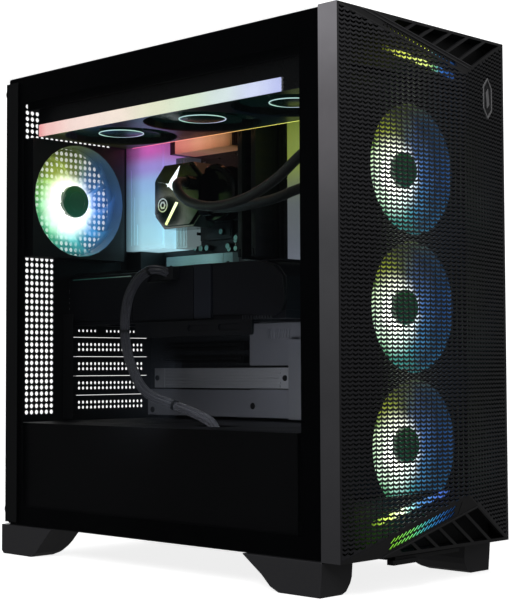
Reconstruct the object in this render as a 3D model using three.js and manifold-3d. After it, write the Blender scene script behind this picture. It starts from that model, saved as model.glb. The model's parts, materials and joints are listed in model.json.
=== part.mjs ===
// A mid-tower desktop computer: steel chassis, glass side, meshed front with a folded prow, three front
// fans, a rear fan, a 360 mm liquid cooler, an ATX board, a graphics card and a power supply in a basement.
// Millimetres. +Z is up, the front looks along -Y and the glass side looks along -X.
// The origin is at the middle of the footprint, on the ground.
import * as THREE from "three";
import { mergeVertices } from "three/addons/utils/BufferGeometryUtils.js";
import Module from "manifold-3d";

const wasm = await Module();
wasm.setup();

// ---- Driving dimensions ----
const WIDTH = 230;
const HEIGHT = 480;
const DEPTH = 448; // front panel's edge to rear wall
const PROW = 20; // how far the front ridge stands out
const KNOB = 8; // how far the rear thumbscrews stand out
const FOOT = 29; // height of the feet
const STEEL = 1; // sheet thickness
const GLASS = 4;
const GAP = 0.3; // clearance between neighbouring pieces
const FRONT_PANEL = 20.2; // depth of the front panel's sides
const FAN = 120; // fan frame size
const FAN_DEPTH = 25;
const SLOT_PITCH = 20.32; // expansion slot spacing
const BOARD = { depth: 244, height: 305, thickness: 1.6 }; // ATX
const POWER = { width: 150, depth: 140, height: 86 }; // ATX power supply

// ---- Planes worked out from them ----
const RIGHT = WIDTH / 2;
const LEFT = -RIGHT;
const FRONT = PROW - (DEPTH + PROW + KNOB) / 2;
const REAR = FRONT + DEPTH;
const CHASSIS_FRONT = FRONT + FRONT_PANEL + 1;
const CHASSIS_LEFT = LEFT + GLASS + 1.6;
const CHASSIS_RIGHT = RIGHT - STEEL - GAP;
const FLOOR = FOOT + STEEL;
const CEILING = HEIGHT - 4;
const BOARD_FACE = 79; // the board's component side
const TRAY = 87; // motherboard tray's near face
const SHROUD_TOP = 131;
const REAR_INSIDE = REAR - STEEL - GAP;
const LOWEST_SLOT = 146.8; // height of the lowest expansion slot's middle
const FAN_X = 8; // front fans' middle
const FRONT_FAN_Z = [357, 237, 117];
const REAR_FAN = { x: -41, z: 358.7 };
const COOLER = { x: -36, y: 23, near: -96, far: 24, under: 420 };
const CARD = { near: -40, far: 66, front: -89, rear: 226, under: 231, top: 283.5 };
const CARD_FAN_Y = [-40, 57, 154];
const RIDGE = { x: 30, top: HEIGHT - 41, bottom: FOOT + 45.5 };

// ---- Finishes ----
const BLACK_STEEL = { color: 0x1b1c1e, roughness: 0.5, metalness: 0.6 };
const BLACK_PLASTIC = { color: 0x222325, roughness: 0.55, metalness: 0 };
const GLOSS_BLACK = { color: 0x101113, roughness: 0.2, metalness: 0 };
const TINTED_GLASS = { color: 0x2b2f33, roughness: 0.05, metalness: 0, transparent: true, opacity: 0.4 };
const SILVER = { color: 0xb8bcc0, roughness: 0.35, metalness: 0.9 };
const FROSTED = { color: 0xcfd6d8, roughness: 0.4, metalness: 0 };
const RUBBER = { color: 0x17181a, roughness: 0.8, metalness: 0 };
const LIT = { color: 0xf2e6d8, roughness: 0.4, metalness: 0, emissive: 0xf2d8c8 };

// ---- Shape helpers ----

// A closed geometry as a manifold solid.
function solid(geometry) {
  geometry.deleteAttribute("normal");
  geometry.deleteAttribute("uv");
  const merged = mergeVertices(geometry, 1e-4);
  const corners = merged.index.array;
  const triangles = [];
  for (let i = 0; i < corners.length; i += 3) {
    const [a, b, c] = corners.slice(i, i + 3);
    if (a !== b && b !== c && c !== a) triangles.push(a, b, c);
  }
  const vertProperties = merged.attributes.position.array;
  const triVerts = new Uint32Array(triangles);
  return new wasm.Manifold(new wasm.Mesh({ numProp: 3, vertProperties, triVerts }));
}

function geometryOf(shape) {
  const mesh = shape.getMesh();
  const geometry = new THREE.BufferGeometry();
  geometry.setAttribute("position", new THREE.BufferAttribute(mesh.vertProperties, 3));
  geometry.setIndex(new THREE.BufferAttribute(mesh.triVerts, 1));
  geometry.computeVertexNormals();
  return geometry;
}

const join = (...shapes) => shapes.reduce((all, shape) => all.add(shape));
const cut = (shape, ...tools) => tools.reduce((left, tool) => left.subtract(tool), shape);

// A box from its limits along X, Y and Z.
function block([x0, x1], [y0, y1], [z0, z1]) {
  const geometry = new THREE.BoxGeometry(x1 - x0, y1 - y0, z1 - z0);
  geometry.translate((x0 + x1) / 2, (y0 + y1) / 2, (z0 + z1) / 2);
  return solid(geometry);
}

// A round bar between two points.
function rod(radius, from, to, sides = 24) {
  const start = new THREE.Vector3(...from);
  const along = new THREE.Vector3(...to).sub(start);
  const geometry = new THREE.CylinderGeometry(radius, radius, along.length(), sides);
  const turn = new THREE.Quaternion();
  turn.setFromUnitVectors(new THREE.Vector3(0, 1, 0), along.clone().normalize());
  geometry.applyQuaternion(turn);
  const middle = start.addScaledVector(along, 0.5);
  geometry.translate(middle.x, middle.y, middle.z);
  return solid(geometry);
}

// An outline pushed along an axis. Its points are (y, z) along X, (x, z) along Y and (x, y) along Z.
function prism(outline, axis, low, high) {
  const shape = new THREE.Shape(outline.map(([u, v]) => new THREE.Vector2(u, v)));
  const geometry = new THREE.ExtrudeGeometry(shape, { depth: high - low, bevelEnabled: false });
  const x = new THREE.Vector3(1, 0, 0);
  const y = new THREE.Vector3(0, 1, 0);
  const z = new THREE.Vector3(0, 0, 1);
  const frame = new THREE.Matrix4();
  if (axis === "x") frame.makeBasis(y, z, x).setPosition(low, 0, 0);
  if (axis === "y") frame.makeBasis(x, z, y.negate()).setPosition(0, high, 0);
  if (axis === "z") frame.makeTranslation(0, 0, low);
  return solid(geometry.applyMatrix4(frame));
}

// A round hose along a smooth curve through points.
function hose(radius, points, steps, sides = 10) {
  const ring = [];
  for (let i = 0; i < sides; i += 1) {
    const angle = (2 * Math.PI * i) / sides;
    ring.push(new THREE.Vector2(radius * Math.cos(angle), radius * Math.sin(angle)));
  }
  const curve = new THREE.CatmullRomCurve3(points.map((p) => new THREE.Vector3(...p)));
  const options = { steps, extrudePath: curve, bevelEnabled: false };
  return solid(new THREE.ExtrudeGeometry(new THREE.Shape(ring), options));
}

// A closed body from corners and faces, each face listed anticlockwise from outside.
function polyhedron(corners, faces) {
  const geometry = new THREE.BufferGeometry();
  geometry.setAttribute("position", new THREE.Float32BufferAttribute(corners.flat(), 3));
  geometry.setIndex(faces.flatMap((f) => f.slice(2).flatMap((c, i) => [f[0], f[i + 1], c])));
  return solid(geometry);
}

// Repeats a shape-making function for evenly spaced numbers.
function row(count, first, pitch, make) {
  return Array.from({ length: count }, (_, i) => make(first + i * pitch));
}

const tower = new THREE.Group();

function add(name, shape, finish, parent = tower) {
  const mesh = new THREE.Mesh(geometryOf(shape), new THREE.MeshStandardMaterial(finish));
  mesh.name = name;
  parent.add(mesh);
  return mesh;
}

// ---- Chassis ----

function baseTray() {
  const plate = block([CHASSIS_LEFT, CHASSIS_RIGHT], [CHASSIS_FRONT, REAR_INSIDE], [FOOT, FLOOR]);
  const rearIntake = row(6, 96, 20, (y) => block([-42, 78], [y, y + 8], [FOOT - 1, FLOOR + 1]));
  const frontIntake = row(6, -150, 20, (y) => block([-40, 40], [y, y + 8], [FOOT - 1, FLOOR + 1]));
  return cut(plate, ...rearIntake, ...frontIntake);
}

function rearPanel() {
  const through = [REAR - STEEL - 1, REAR + 1];
  const plate = block([CHASSIS_LEFT, CHASSIS_RIGHT], [REAR - STEEL, REAR], [FLOOR + GAP, CEILING - GAP]);
  const ioOpening = block([36, 79.5], through, [283.5, 440]);
  const slotOpening = block([-31, 73], through, [LOWEST_SLOT - 9.5, LOWEST_SLOT + 6.5 * SLOT_PITCH - 0.8]);
  const powerOpening = block([-60, 80], through, [38, 114]);
  const fanVents = row(9, -48, 12, (dz) => {
    const half = Math.sqrt(56 ** 2 - dz ** 2);
    const z = REAR_FAN.z + dz;
    return block([REAR_FAN.x - half, REAR_FAN.x + half], through, [z - 2.5, z + 2.5]);
  });
  const lowVents = row(12, 142, 13, (z) => block([-95, -58], through, [z, z + 5]));
  const highVents = row(3, 436, 12, (z) => block([-96, -82], through, [z, z + 5]));
  return cut(plate, ioOpening, slotOpening, powerOpening, ...fanVents, ...lowVents, ...highVents);
}

function motherboardTray() {
  const through = [TRAY - 1, TRAY + STEEL + 1];
  const plate = block([TRAY, TRAY + STEEL], [-150, REAR_INSIDE], [FLOOR + GAP, CEILING - GAP]);
  const behindSocket = block(through, [66, 176], [306, 420]);
  const frontRoutes = row(2, 170, 130, (z) => block(through, [-58, -28], [z, z + 90]));
  const topRoutes = row(3, -10, 74, (y) => block(through, [y, y + 46], [446, 464]));
  return cut(plate, behindSocket, ...frontRoutes, ...topRoutes);
}

function frontFrame() {
  const through = [CHASSIS_FRONT - 1, CHASSIS_FRONT + STEEL + 1];
  const low = [CHASSIS_FRONT, CHASSIS_FRONT + STEEL];
  const plate = block([CHASSIS_LEFT, CHASSIS_RIGHT], low, [FLOOR + GAP, CEILING - GAP]);
  const windows = FRONT_FAN_Z.map((z) => rod(57, [FAN_X, through[0], z], [FAN_X, through[1], z], 32));
  return cut(plate, ...windows);
}

function topFrame() {
  const through = [CEILING - 1, CEILING + 2];
  const plate = block([CHASSIS_LEFT, CHASSIS_RIGHT], [CHASSIS_FRONT, REAR_INSIDE], [CEILING, CEILING + 1.2]);
  const windows = row(3, COOLER.y - 174, FAN, (y) => block([-88, 16], [y, y + 108], through));
  const rightVents = row(4, -130, 84, (y) => block([40, 76], [y, y + 60], through));
  const ioOpening = block([29.5, 104.5], [-193.5, -168.5], through);
  return cut(plate, ...windows, ...rightVents, ioOpening);
}

function psuShroud() {
  const front = CHASSIS_FRONT + STEEL + FAN_DEPTH + 5;
  const deep = [front, REAR_INSIDE];
  const roof = block([-108, TRAY - GAP], deep, [SHROUD_TOP - STEEL, SHROUD_TOP]);
  const wall = block([-108, -108 + STEEL], deep, [FLOOR + GAP, SHROUD_TOP]);
  const cableHole = block([-60, -30], [-24, 12], [SHROUD_TOP - 3, SHROUD_TOP + 2]);
  const vents = row(5, 90, 26, (y) => block([-50, 50], [y, y + 6], [SHROUD_TOP - 3, SHROUD_TOP + 2]));
  return cut(join(roof, wall), cableHole, ...vents);
}

// A foot from its side profile in (y, z), mirrored to either side of the case.
function foot(profile, side) {
  const outer = side * (RIGHT - 0.3);
  const span = (a, b) => (side < 0 ? [a, b] : [-b, -a]);
  const body = prism(profile, "x", ...span(-Math.abs(outer), -76));
  const corner = prism(
    [
      [side * 74, -1], [side * 90, -1], [side * 82, 2.5],
      [side * 77.5, 9], [side * 75.5, 16], [side * 74, 16],
    ],
    "y", -300, 300,
  );
  return cut(body, corner);
}

const FRONT_FOOT = [[-198.3, FOOT], [-196, 0], [-149.4, 0], [-140, 4], [-130, 13], [-106.6, FOOT]];
const REAR_FOOT = [[235.6, FOOT], [235.6, 3], [232.6, 0], [187, 0], [180, 4], [171, 13], [154.5, FOOT]];

// ---- Side panels ----

const KNOB_Z = [44, 465];

function knob(x, z) {
  const neck = rod(3, [x, REAR + GAP, z], [x, REAR + 3, z], 12);
  return join(neck, rod(6.5, [x, REAR + 2, z], [x, REAR + KNOB, z], 16));
}

function glassPanel() {
  return block([LEFT, LEFT + GLASS], [FRONT + FRONT_PANEL + GAP, REAR], [FOOT + 0.5, HEIGHT]);
}

function glassFlange() {
  const high = [FOOT + 3, HEIGHT - 6];
  const bonded = block([LEFT + GLASS + GAP, LEFT + GLASS + GAP + STEEL], [212, REAR + GAP + STEEL], high);
  const turned = block([LEFT + 0.2, -97], [REAR + GAP, REAR + GAP + STEEL], high);
  return join(bonded, turned, ...KNOB_Z.map((z) => knob(-105, z)));
}

function steelPanel() {
  const deep = [FRONT + FRONT_PANEL + GAP, REAR + GAP + STEEL];
  const sheet = block([RIGHT - STEEL, RIGHT], deep, [FOOT + 0.5, HEIGHT]);
  const turned = block([97, RIGHT], [REAR + GAP, REAR + GAP + STEEL], [FOOT + 3, HEIGHT - 6]);
  return join(sheet, turned, ...KNOB_Z.map((z) => knob(105, z)));
}

// ---- Front panel: a shallow hipped prow on a rectangular rim ----

// The prow as a solid, its rim drawn in by inset, its face moved back by shift, and closed at backY.
function prow(inset, shift, backY) {
  const [x0, x1] = [LEFT + inset, RIGHT - inset];
  const [z0, z1] = [FOOT + inset, HEIGHT - inset];
  const rimY = FRONT + shift;
  const ridgeY = rimY - PROW;
  const corners = [
    [x0, rimY, z1], [x1, rimY, z1], [x1, rimY, z0], [x0, rimY, z0],
    [RIDGE.x, ridgeY, RIDGE.top], [RIDGE.x, ridgeY, RIDGE.bottom],
    [x0, backY, z1], [x1, backY, z1], [x1, backY, z0], [x0, backY, z0],
  ];
  const faces = [
    [0, 4, 1], [3, 2, 5], [0, 3, 5, 4], [4, 5, 2, 1],
    [0, 1, 7, 6], [2, 3, 9, 8], [3, 0, 6, 9], [1, 2, 8, 7], [6, 7, 8, 9],
  ];
  return polyhedron(corners, faces);
}

// Heights of the prow's four folds at x: along the top and the bottom, left and right of the ridge.
const topFold = (x) => HEIGHT - ((HEIGHT - RIDGE.top) * (x - LEFT)) / (RIDGE.x - LEFT);
const bottomFold = (x) => FOOT + ((RIDGE.bottom - FOOT) * (x - LEFT)) / (RIDGE.x - LEFT);
const topRightFold = (x) => HEIGHT - ((HEIGHT - RIDGE.top) * (RIGHT - x)) / (RIGHT - RIDGE.x);
const bottomRightFold = (x) => FOOT + ((RIDGE.bottom - FOOT) * (RIGHT - x)) / (RIGHT - RIDGE.x);
const SKIN = 2.4;
const MESH_RIM = 1.6; // frame left round the mesh

// The mesh's window in (x, z), drawn in by inset.
function meshWindow(inset) {
  const rim = MESH_RIM + inset;
  const x0 = LEFT + 1.2 + inset;
  const x1 = RIGHT - 1.2 - inset;
  return [
    [x0, topFold(x0) - rim], [x0, bottomFold(x0) + rim], [RIDGE.x, RIDGE.bottom + rim],
    [x1, bottomRightFold(x1) + rim], [x1, topRightFold(x1) - rim], [RIDGE.x, RIDGE.top - rim],
  ];
}

// A slot of the louvres, parallel to the right-hand fold, from the rim at x down to the left-hand fold.
function louvreSlot(x, top) {
  const wide = 20;
  const rise = top ? RIDGE.top - HEIGHT : RIDGE.bottom - FOOT;
  const startZ = top ? HEIGHT - 3 : FOOT + 3;
  const margin = top ? 13 : -17;
  const foldSlope = rise / (RIDGE.x - LEFT);
  const barSlope = rise / (RIGHT - RIDGE.x);
  const end = (s) => {
    const foldZ = (top ? topFold(s) : bottomFold(s)) + margin;
    const run = (foldZ - startZ) / (barSlope + foldSlope);
    return [s - run, startZ + barSlope * run];
  };
  return prism([[x, startZ], [x + wide, startZ], end(x + wide), end(x)], "y", FRONT - PROW - 2, FRONT + 12);
}

// A strip in (x, z) along the left part of a fold, offset from it and given a half height.
function foldStrip(fold, x0, x1, offset, half) {
  return [
    [x0, fold(x0) + offset - half], [x1, fold(x1) + offset - half],
    [x1, fold(x1) + offset + half], [x0, fold(x0) + offset + half],
  ];
}

function frontBezel() {
  const deep = [FRONT - PROW - 2, FRONT + 12];
  const shell = cut(prow(0, 0, FRONT + FRONT_PANEL), prow(SKIN, SKIN, FRONT + FRONT_PANEL + 5));
  const louvres = [true, false].flatMap((top) => row(6, -38.5, 25, (x) => louvreSlot(x, top)));
  const bandTop = prism(foldStrip(topFold, -64, 22, 3.8, 2.6), "y", ...deep);
  const bandBottom = prism(foldStrip(bottomFold, -59, 22, -7, 5.6), "y", ...deep);
  const window = prism(meshWindow(0), "y", ...deep);
  const backing = block([LEFT + 2, -88], [FRONT + 8, FRONT + 10], [FOOT + 2, HEIGHT - 2]);
  return join(cut(shell, window, bandTop, bandBottom, ...louvres), backing);
}

// A layer of the prow's face between two depths, inside an outline in (x, z).
function faceLayer(outline, near, far) {
  const layer = cut(prow(0, near, FRONT + 15), prow(-1, far, FRONT + 16));
  return layer.intersect(prism(outline, "y", FRONT - PROW - 2, FRONT + 14));
}

function shieldOutline(x, z) {
  return [
    [x, z + 20], [x - 8, z + 18], [x - 13, z + 11], [x - 12, z - 6],
    [x, z - 20], [x + 12, z - 6], [x + 13, z + 11], [x + 8, z + 18],
  ];
}

// ---- Filters and the top controls ----

function topFilter() {
  const plate = block([-104, 104], [-160, 218], [CEILING + 1.5, HEIGHT]);
  const slots = row(9, -150, 40, (y) => block([-96, 96], [y, y + 30], [CEILING + 2.6, HEIGHT + 1]));
  return cut(plate, ...slots);
}

function bottomFilter() {
  const tray = block([-44, 44], [FRONT + 2, 205], [FOOT - 4, FOOT - 0.6]);
  const slots = row(10, -205, 40, (y) => block([-38, 38], [y, y + 32], [FOOT - 5, FOOT - 1.8]));
  const tab = block([-50, -17], [FRONT - 1, FRONT + 6], [FOOT - 7, FOOT - 3]);
  return join(cut(tray, ...slots), tab);
}

const BUTTON = { x: 39, y: -181, radius: 7 };

function ioStrip() {
  const body = block([30, 104], [-193, -169], [464, HEIGHT - 0.4]);
  const well = rod(BUTTON.radius + GAP, [BUTTON.x, BUTTON.y, 472], [BUTTON.x, BUTTON.y, HEIGHT], 24);
  const portC = block([49, 58], [-182.6, -179.4], [469, HEIGHT]);
  const portsA = row(2, 63, 18, (x) => block([x, x + 13.1], [-183.9, -178.1], [467, HEIGHT]));
  const audio = rod(1.9, [100, BUTTON.y, 466], [100, BUTTON.y, HEIGHT], 12);
  return cut(body, well, portC, ...portsA, audio);
}

// ---- Fans, drawn about their own axis with the open side along +Z ----

function fanFrame() {
  const half = FAN / 2;
  const deep = FAN_DEPTH / 2;
  const ring = cut(block([-half, half], [-half, half], [-deep, deep]), rod(58, [0, 0, -20], [0, 0, 20], 28));
  const hub = rod(19, [0, 0, -deep], [0, 0, 4 - deep], 16);
  const arms = [0, 1, 2, 3].map((k) => {
    const angle = (k + 0.25) * (Math.PI / 2);
    const reach = [59 * Math.cos(angle), 59 * Math.sin(angle)];
    return rod(2, [...reach.map((v) => v * 0.2), 2.2 - deep], [...reach, 2.2 - deep], 4);
  });
  return join(ring, hub, ...arms);
}

function fanRotor(hubRadius, tipRadius, blades, chord, halfDepth) {
  const hub = rod(hubRadius, [0, 0, -halfDepth], [0, 0, halfDepth], 16);
  const long = tipRadius - hubRadius + 2;
  const vanes = Array.from({ length: blades }, (_, k) => {
    const vane = new THREE.BoxGeometry(long, chord, 1.8);
    vane.rotateX(0.56);
    vane.translate(hubRadius - 2 + long / 2, 0, 0);
    vane.rotateZ((2 * Math.PI * k) / blades);
    return solid(vane);
  });
  return join(hub, ...vanes);
}

// Places a fan's frame and rotor in one turned group.
function placeFan(names, at, turnX, frame) {
  const group = new THREE.Group();
  group.position.set(...at);
  group.rotation.x = turnX;
  if (frame) add(names.frame, fanFrame(), BLACK_PLASTIC, group);
  add(names.rotor, fanRotor(19, 55.5, 7, 24, 8), FROSTED, group);
  tower.add(group);
}

// ---- Liquid cooler ----

function radiator() {
  const z = [448.3, CEILING - 0.5];
  const core = block([COOLER.near, COOLER.far], [COOLER.y - 197, COOLER.y + 197], z);
  const finned = [COOLER.y - 176, COOLER.y + 184];
  const gaps = row(8, COOLER.near + 9, 14, (x) => block([x, x + 4], finned, [440, 480]));
  const ports = [-58, -14].map((x) => rod(5.8, [x, -163.2, 441], [x, -163.2, 449], 12));
  return join(cut(core, ...gaps), ...ports);
}

function radiatorFanFrame() {
  const near = COOLER.near + 2.4;
  const z = [COOLER.under, 448];
  const body = block([near, COOLER.far], [COOLER.y - 180, COOLER.y + 180], z);
  const middles = [COOLER.y - FAN, COOLER.y, COOLER.y + FAN];
  const wells = middles.map((y) => rod(57, [COOLER.x, y, z[0] - 1], [COOLER.x, y, z[1] + 1], 28));
  const stays = middles.map((y) => {
    const across = block([COOLER.x - 58, COOLER.x + 58], [y - 2, y + 2], [z[1] - 4, z[1]]);
    const along = block([COOLER.x - 2, COOLER.x + 2], [y - 58, y + 58], [z[1] - 4, z[1]]);
    return join(across, along, rod(19, [COOLER.x, y, z[1] - 4], [COOLER.x, y, z[1]], 16));
  });
  return join(cut(body, ...wells), ...stays);
}

function pumpBlock() {
  const [y0, y1, z0, z1, c] = [92, 164, 330, 397, 14];
  const octagon = [
    [y0 + c, z0], [y1 - c, z0], [y1, z0 + c], [y1, z1 - c],
    [y1 - c, z1], [y0 + c, z1], [y0, z1 - c], [y0, z0 + c],
  ];
  const head = prism(octagon, "x", 25, 54);
  const plate = block([50, BOARD_FACE - GAP], [99, 144], [342, 389]);
  const upper = rod(7.5, [14, 101, 374], [27, 101, 374], 16);
  const lower = rod(7.5, [33, 82, 347], [33, 96, 347], 16);
  return join(head, plate, upper, lower);
}

const SUPPLY_HOSE = [
  [13.5, 101, 374], [10, 101, 374], [4, 100, 373], [-3, 96, 368], [-8, 85, 358], [-10, 66, 348],
  [-13, 30, 341.5],
  [-18, -16, 345], [-28, -65, 357], [-40, -107, 373], [-47, -143.8, 388], [-51, -154, 398],
  [-55, -160.3, 409], [-57.5, -163.2, 424], [-58, -163.2, 440.7],
];
const RETURN_HOSE = [
  [33, 81.5, 347], [33, 78, 347], [30, 66, 346], [25, 48, 344.5], [18, 24, 343.5], [6, -30, 345],
  [-4, -73, 350],
  [-9, -113, 353], [-11, -138, 359], [-12.5, -156.3, 377], [-13.5, -162.5, 402], [-14, -163.2, 440.7],
];

// ---- Motherboard and what is on it ----

function motherboard() {
  const y = [REAR_INSIDE - BOARD.depth, REAR_INSIDE];
  const z = [LOWEST_SLOT - 13.3, LOWEST_SLOT - 13.3 + BOARD.height];
  const board = block([BOARD_FACE, BOARD_FACE + BOARD.thickness], y, z);
  const on = (x, ys, zs) => block([x, BOARD_FACE + 0.5], ys, zs);
  const cardSlots = [
    on(68, [92, 184], [271, 280]), on(68, [76, 200], [203, 211]), on(68, [76, 200], [190, 197]),
  ];
  const memorySlots = row(4, 28.5, 9.5, (at) => on(72, [at - 3.2, at + 3.2], [290, 432]));
  const powerSocket = on(66, [-14, -4], [300, 352]);
  const socketFrame = on(76, [96, 144.5], [334, 341.5]);
  return join(board, ...cardSlots, ...memorySlots, powerSocket, socketFrame);
}

const REAR_PORTS = [
  [44, 57, 398, 404], [44, 57, 384, 390], [44, 60, 352, 366], [44, 57, 330, 336], [44, 57, 316, 322],
];

function ioCover() {
  const cover = block([42, BOARD_FACE - GAP], [165, 206], [310, 432]);
  const stack = block([38, BOARD_FACE - GAP], [205, REAR - 0.4], [284, 438.5]);
  const ports = REAR_PORTS.map(([x0, x1, z0, z1]) => block([x0, x1], [REAR - 13, REAR], [z0, z1]));
  return cut(join(cover, stack), ...ports);
}

function vrmHeatsink() {
  const across = block([48, BOARD_FACE - GAP], [67, 164.5], [412, 433]);
  const down = block([57, BOARD_FACE - GAP], [146, 164.5], [311, 433]);
  const fins = row(6, 70, 7, (y) => block([40, 52], [y, y + 3], [410, 440]));
  return cut(join(across, down), ...fins);
}

function chipsetCover() {
  const outline = [
    [-10, 134], [224, 134], [224, 162.5], [66, 162.5], [66, 163], [5, 163], [5, 187], [66, 187],
    [66, 236], [-10, 236],
  ];
  return prism(outline, "x", 69, BOARD_FACE - GAP);
}

// ---- Graphics card ----

function graphicsCard() {
  const { near, far, front, rear, under, top } = CARD;
  const outline = [
    [front + 12, under], [rear - 8, under - 2], [rear, under + 8], [rear, top], [front + 22, top],
    [front + 6, top - 10], [front, top - 22], [front, under + 12],
  ];
  const body = prism(outline, "x", near, far);
  const wells = CARD_FAN_Y.map((y) => rod(45.5, [13, y, under - 5], [13, y, under + 14], 28));
  const band = block([near - 1, near + 3], [8, 29], [under - 2, top + 1]);
  const plate = block([-35, 77], [rear + 1, REAR_INSIDE], [239, 278.4]);
  const link = block([-30, 60], [rear - 1, rear + 1.5], [242, 277]);
  const edge = block([far - 1, 67.7], [96, 180], [274.6, 276.2]);
  const outputs = row(4, -22, 22, (x) => block([x, x + 16.4], [rear - 9, REAR], [260, 266]));
  return cut(join(cut(body, ...wells, band), plate, link, edge), ...outputs);
}

function supportBracket() {
  const arm = block([-46, -43], [-52, 110], [215, 229.5]);
  const foot = block([-46, BOARD_FACE - 13], [96, 110], [226.5, 229.5]);
  const windows = row(2, -38, 44, (y) => block([-48, -42], [y, y + 30], [220, 226]));
  return cut(join(arm, foot), ...windows);
}

const POWER_LEAD = [
  [-47.5, 61, 277], [-54, 64, 279.5], [-59, 74, 279], [-61, 90, 270], [-61, 104, 250], [-60, 109, 218],
  [-58, 102, 188], [-57, 81, 162], [-54, 45, 150], [-50, 18, 142], [-46, 2, 134], [-45, -5, 124],
];

function powerCable() {
  const plug = block([-49, CARD.near - GAP], [51, 71], [270, 283]);
  return join(plug, hose(5, POWER_LEAD, 34, 8));
}

// ---- Power supply ----

const SUPPLY = { x: -65, y: REAR_INSIDE - POWER.depth, z: 33 };
const ROCKER = { x: 30, y: REAR_INSIDE - 4, z: 62 };

function powerSupply() {
  const { x, y, z } = SUPPLY;
  const outside = block([x, x + POWER.width], [y, REAR_INSIDE], [z, z + POWER.height]);
  const inside = block(
    [x + 2, x + POWER.width - 2], [y + 2, REAR_INSIDE - 2], [z + 2, z + POWER.height - 2],
  );
  const intake = row(7, y + 18, 15, (at) => block([x + 25, x + 125], [at, at + 7], [z - 1, z + 3]));
  const exhaust = row(5, z + 14, 13, (at) => block([x + 12, x + 84], [REAR - 10, REAR], [at, at + 6]));
  const housing = block([46, 80], [REAR_INSIDE - 18, REAR_INSIDE], [48, 76]);
  const inlet = block([49.5, 76.5], [REAR_INSIDE - 14, REAR], [52, 72]);
  const { x: rx, z: rz } = ROCKER;
  const seat = block([rx - 8, rx + 8], [REAR_INSIDE - 12, REAR_INSIDE], [rz - 12, rz + 12]);
  const seatHole = block([rx - 7, rx + 7], [REAR_INSIDE - 9, REAR], [rz - 10, rz + 10]);
  const box = cut(outside, inside, ...intake, ...exhaust);
  return cut(join(box, housing, seat), inlet, seatHole);
}

// The mains rocker about its pivot, pressed in at the top.
function rocker() {
  const outline = [[-2.5, -8], [3.4, -8], [4.6, 0], [3.4, 8], [-2.5, 8]];
  return prism(outline, "x", -6.6, 6.6);
}

// ---- Assembly ----

add("base_tray", baseTray(), BLACK_STEEL);
add("rear_panel", rearPanel(), BLACK_STEEL);
add("motherboard_tray", motherboardTray(), BLACK_STEEL);
add("front_frame", frontFrame(), BLACK_STEEL);
add("top_frame", topFrame(), BLACK_STEEL);
add("psu_shroud", psuShroud(), BLACK_STEEL);
add("foot_front_left", foot(FRONT_FOOT, -1), BLACK_PLASTIC);
add("foot_front_right", foot(FRONT_FOOT, 1), BLACK_PLASTIC);
add("foot_rear_left", foot(REAR_FOOT, -1), BLACK_PLASTIC);
add("foot_rear_right", foot(REAR_FOOT, 1), BLACK_PLASTIC);

add("glass_side_panel", glassPanel(), TINTED_GLASS);
add("glass_panel_flange", glassFlange(), BLACK_STEEL);
add("steel_side_panel", steelPanel(), BLACK_STEEL);

add("front_bezel", frontBezel(), BLACK_PLASTIC);
add("front_mesh", faceLayer(meshWindow(GAP), 0.5, 1.7), BLACK_STEEL);
add("front_light_top", faceLayer(foldStrip(topFold, -68, 26, 3.8, 4.2), 3.9, 5.6), LIT);
add("front_light_bottom", faceLayer(foldStrip(bottomFold, -61, 26, -7, 6.4), 3.9, 5.6), LIT);
add("front_badge", faceLayer(shieldOutline(78, 424), -0.6, 0.2), SILVER);

add("top_filter", topFilter(), BLACK_PLASTIC);
add("bottom_filter", bottomFilter(), BLACK_PLASTIC);
add("io_strip", ioStrip(), BLACK_PLASTIC);
add(
  "power_button",
  rod(BUTTON.radius, [BUTTON.x, BUTTON.y, 474.5], [BUTTON.x, BUTTON.y, HEIGHT], 24),
  GLOSS_BLACK,
);

FRONT_FAN_Z.forEach((z, i) => {
  const at = [FAN_X, CHASSIS_FRONT + STEEL + GAP + FAN_DEPTH / 2, z];
  const names = { frame: `front_fan_frame_${i + 1}`, rotor: `front_fan_rotor_${i + 1}` };
  placeFan(names, at, Math.PI / 2, true);
});
placeFan(
  { frame: "rear_fan_frame", rotor: "rear_fan_rotor" },
  [REAR_FAN.x, REAR_INSIDE - FAN_DEPTH / 2 - GAP, REAR_FAN.z], Math.PI / 2, true,
);

add("radiator", radiator(), BLACK_STEEL);
add("radiator_fan_frame", radiatorFanFrame(), BLACK_PLASTIC);
[-FAN, 0, FAN].forEach((dy, i) => {
  const at = [COOLER.x, COOLER.y + dy, COOLER.under + 10];
  placeFan({ rotor: `radiator_fan_rotor_${i + 1}` }, at, Math.PI, false);
});
add(
  "radiator_light_bar",
  block([COOLER.near, COOLER.near + 2], [-140, COOLER.y + 180], [COOLER.under - 0.4, COOLER.under + 12]),
  LIT,
);
add("pump_block", pumpBlock(), GLOSS_BLACK);
add("coolant_hose_supply", hose(5.5, SUPPLY_HOSE, 34, 8), RUBBER);
add("coolant_hose_return", hose(5.5, RETURN_HOSE, 30, 8), RUBBER);

add("motherboard", motherboard(), BLACK_PLASTIC);
add("io_cover", ioCover(), SILVER);
add("vrm_heatsink", vrmHeatsink(), SILVER);
add("drive_heatsink_upper", block([69, BOARD_FACE - GAP], [90, 193], [282, 305]), SILVER);
add("drive_heatsink_lower", block([66, BOARD_FACE - GAP], [8, 210], [164, 185]), SILVER);
add("chipset_cover", chipsetCover(), SILVER);
[28.5, 47.5].forEach((y, i) => {
  add(`memory_module_${i + 1}`, block([38, 71.7], [y - 3.2, y + 3.2], [294, 427.4]), BLACK_PLASTIC);
});

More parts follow.
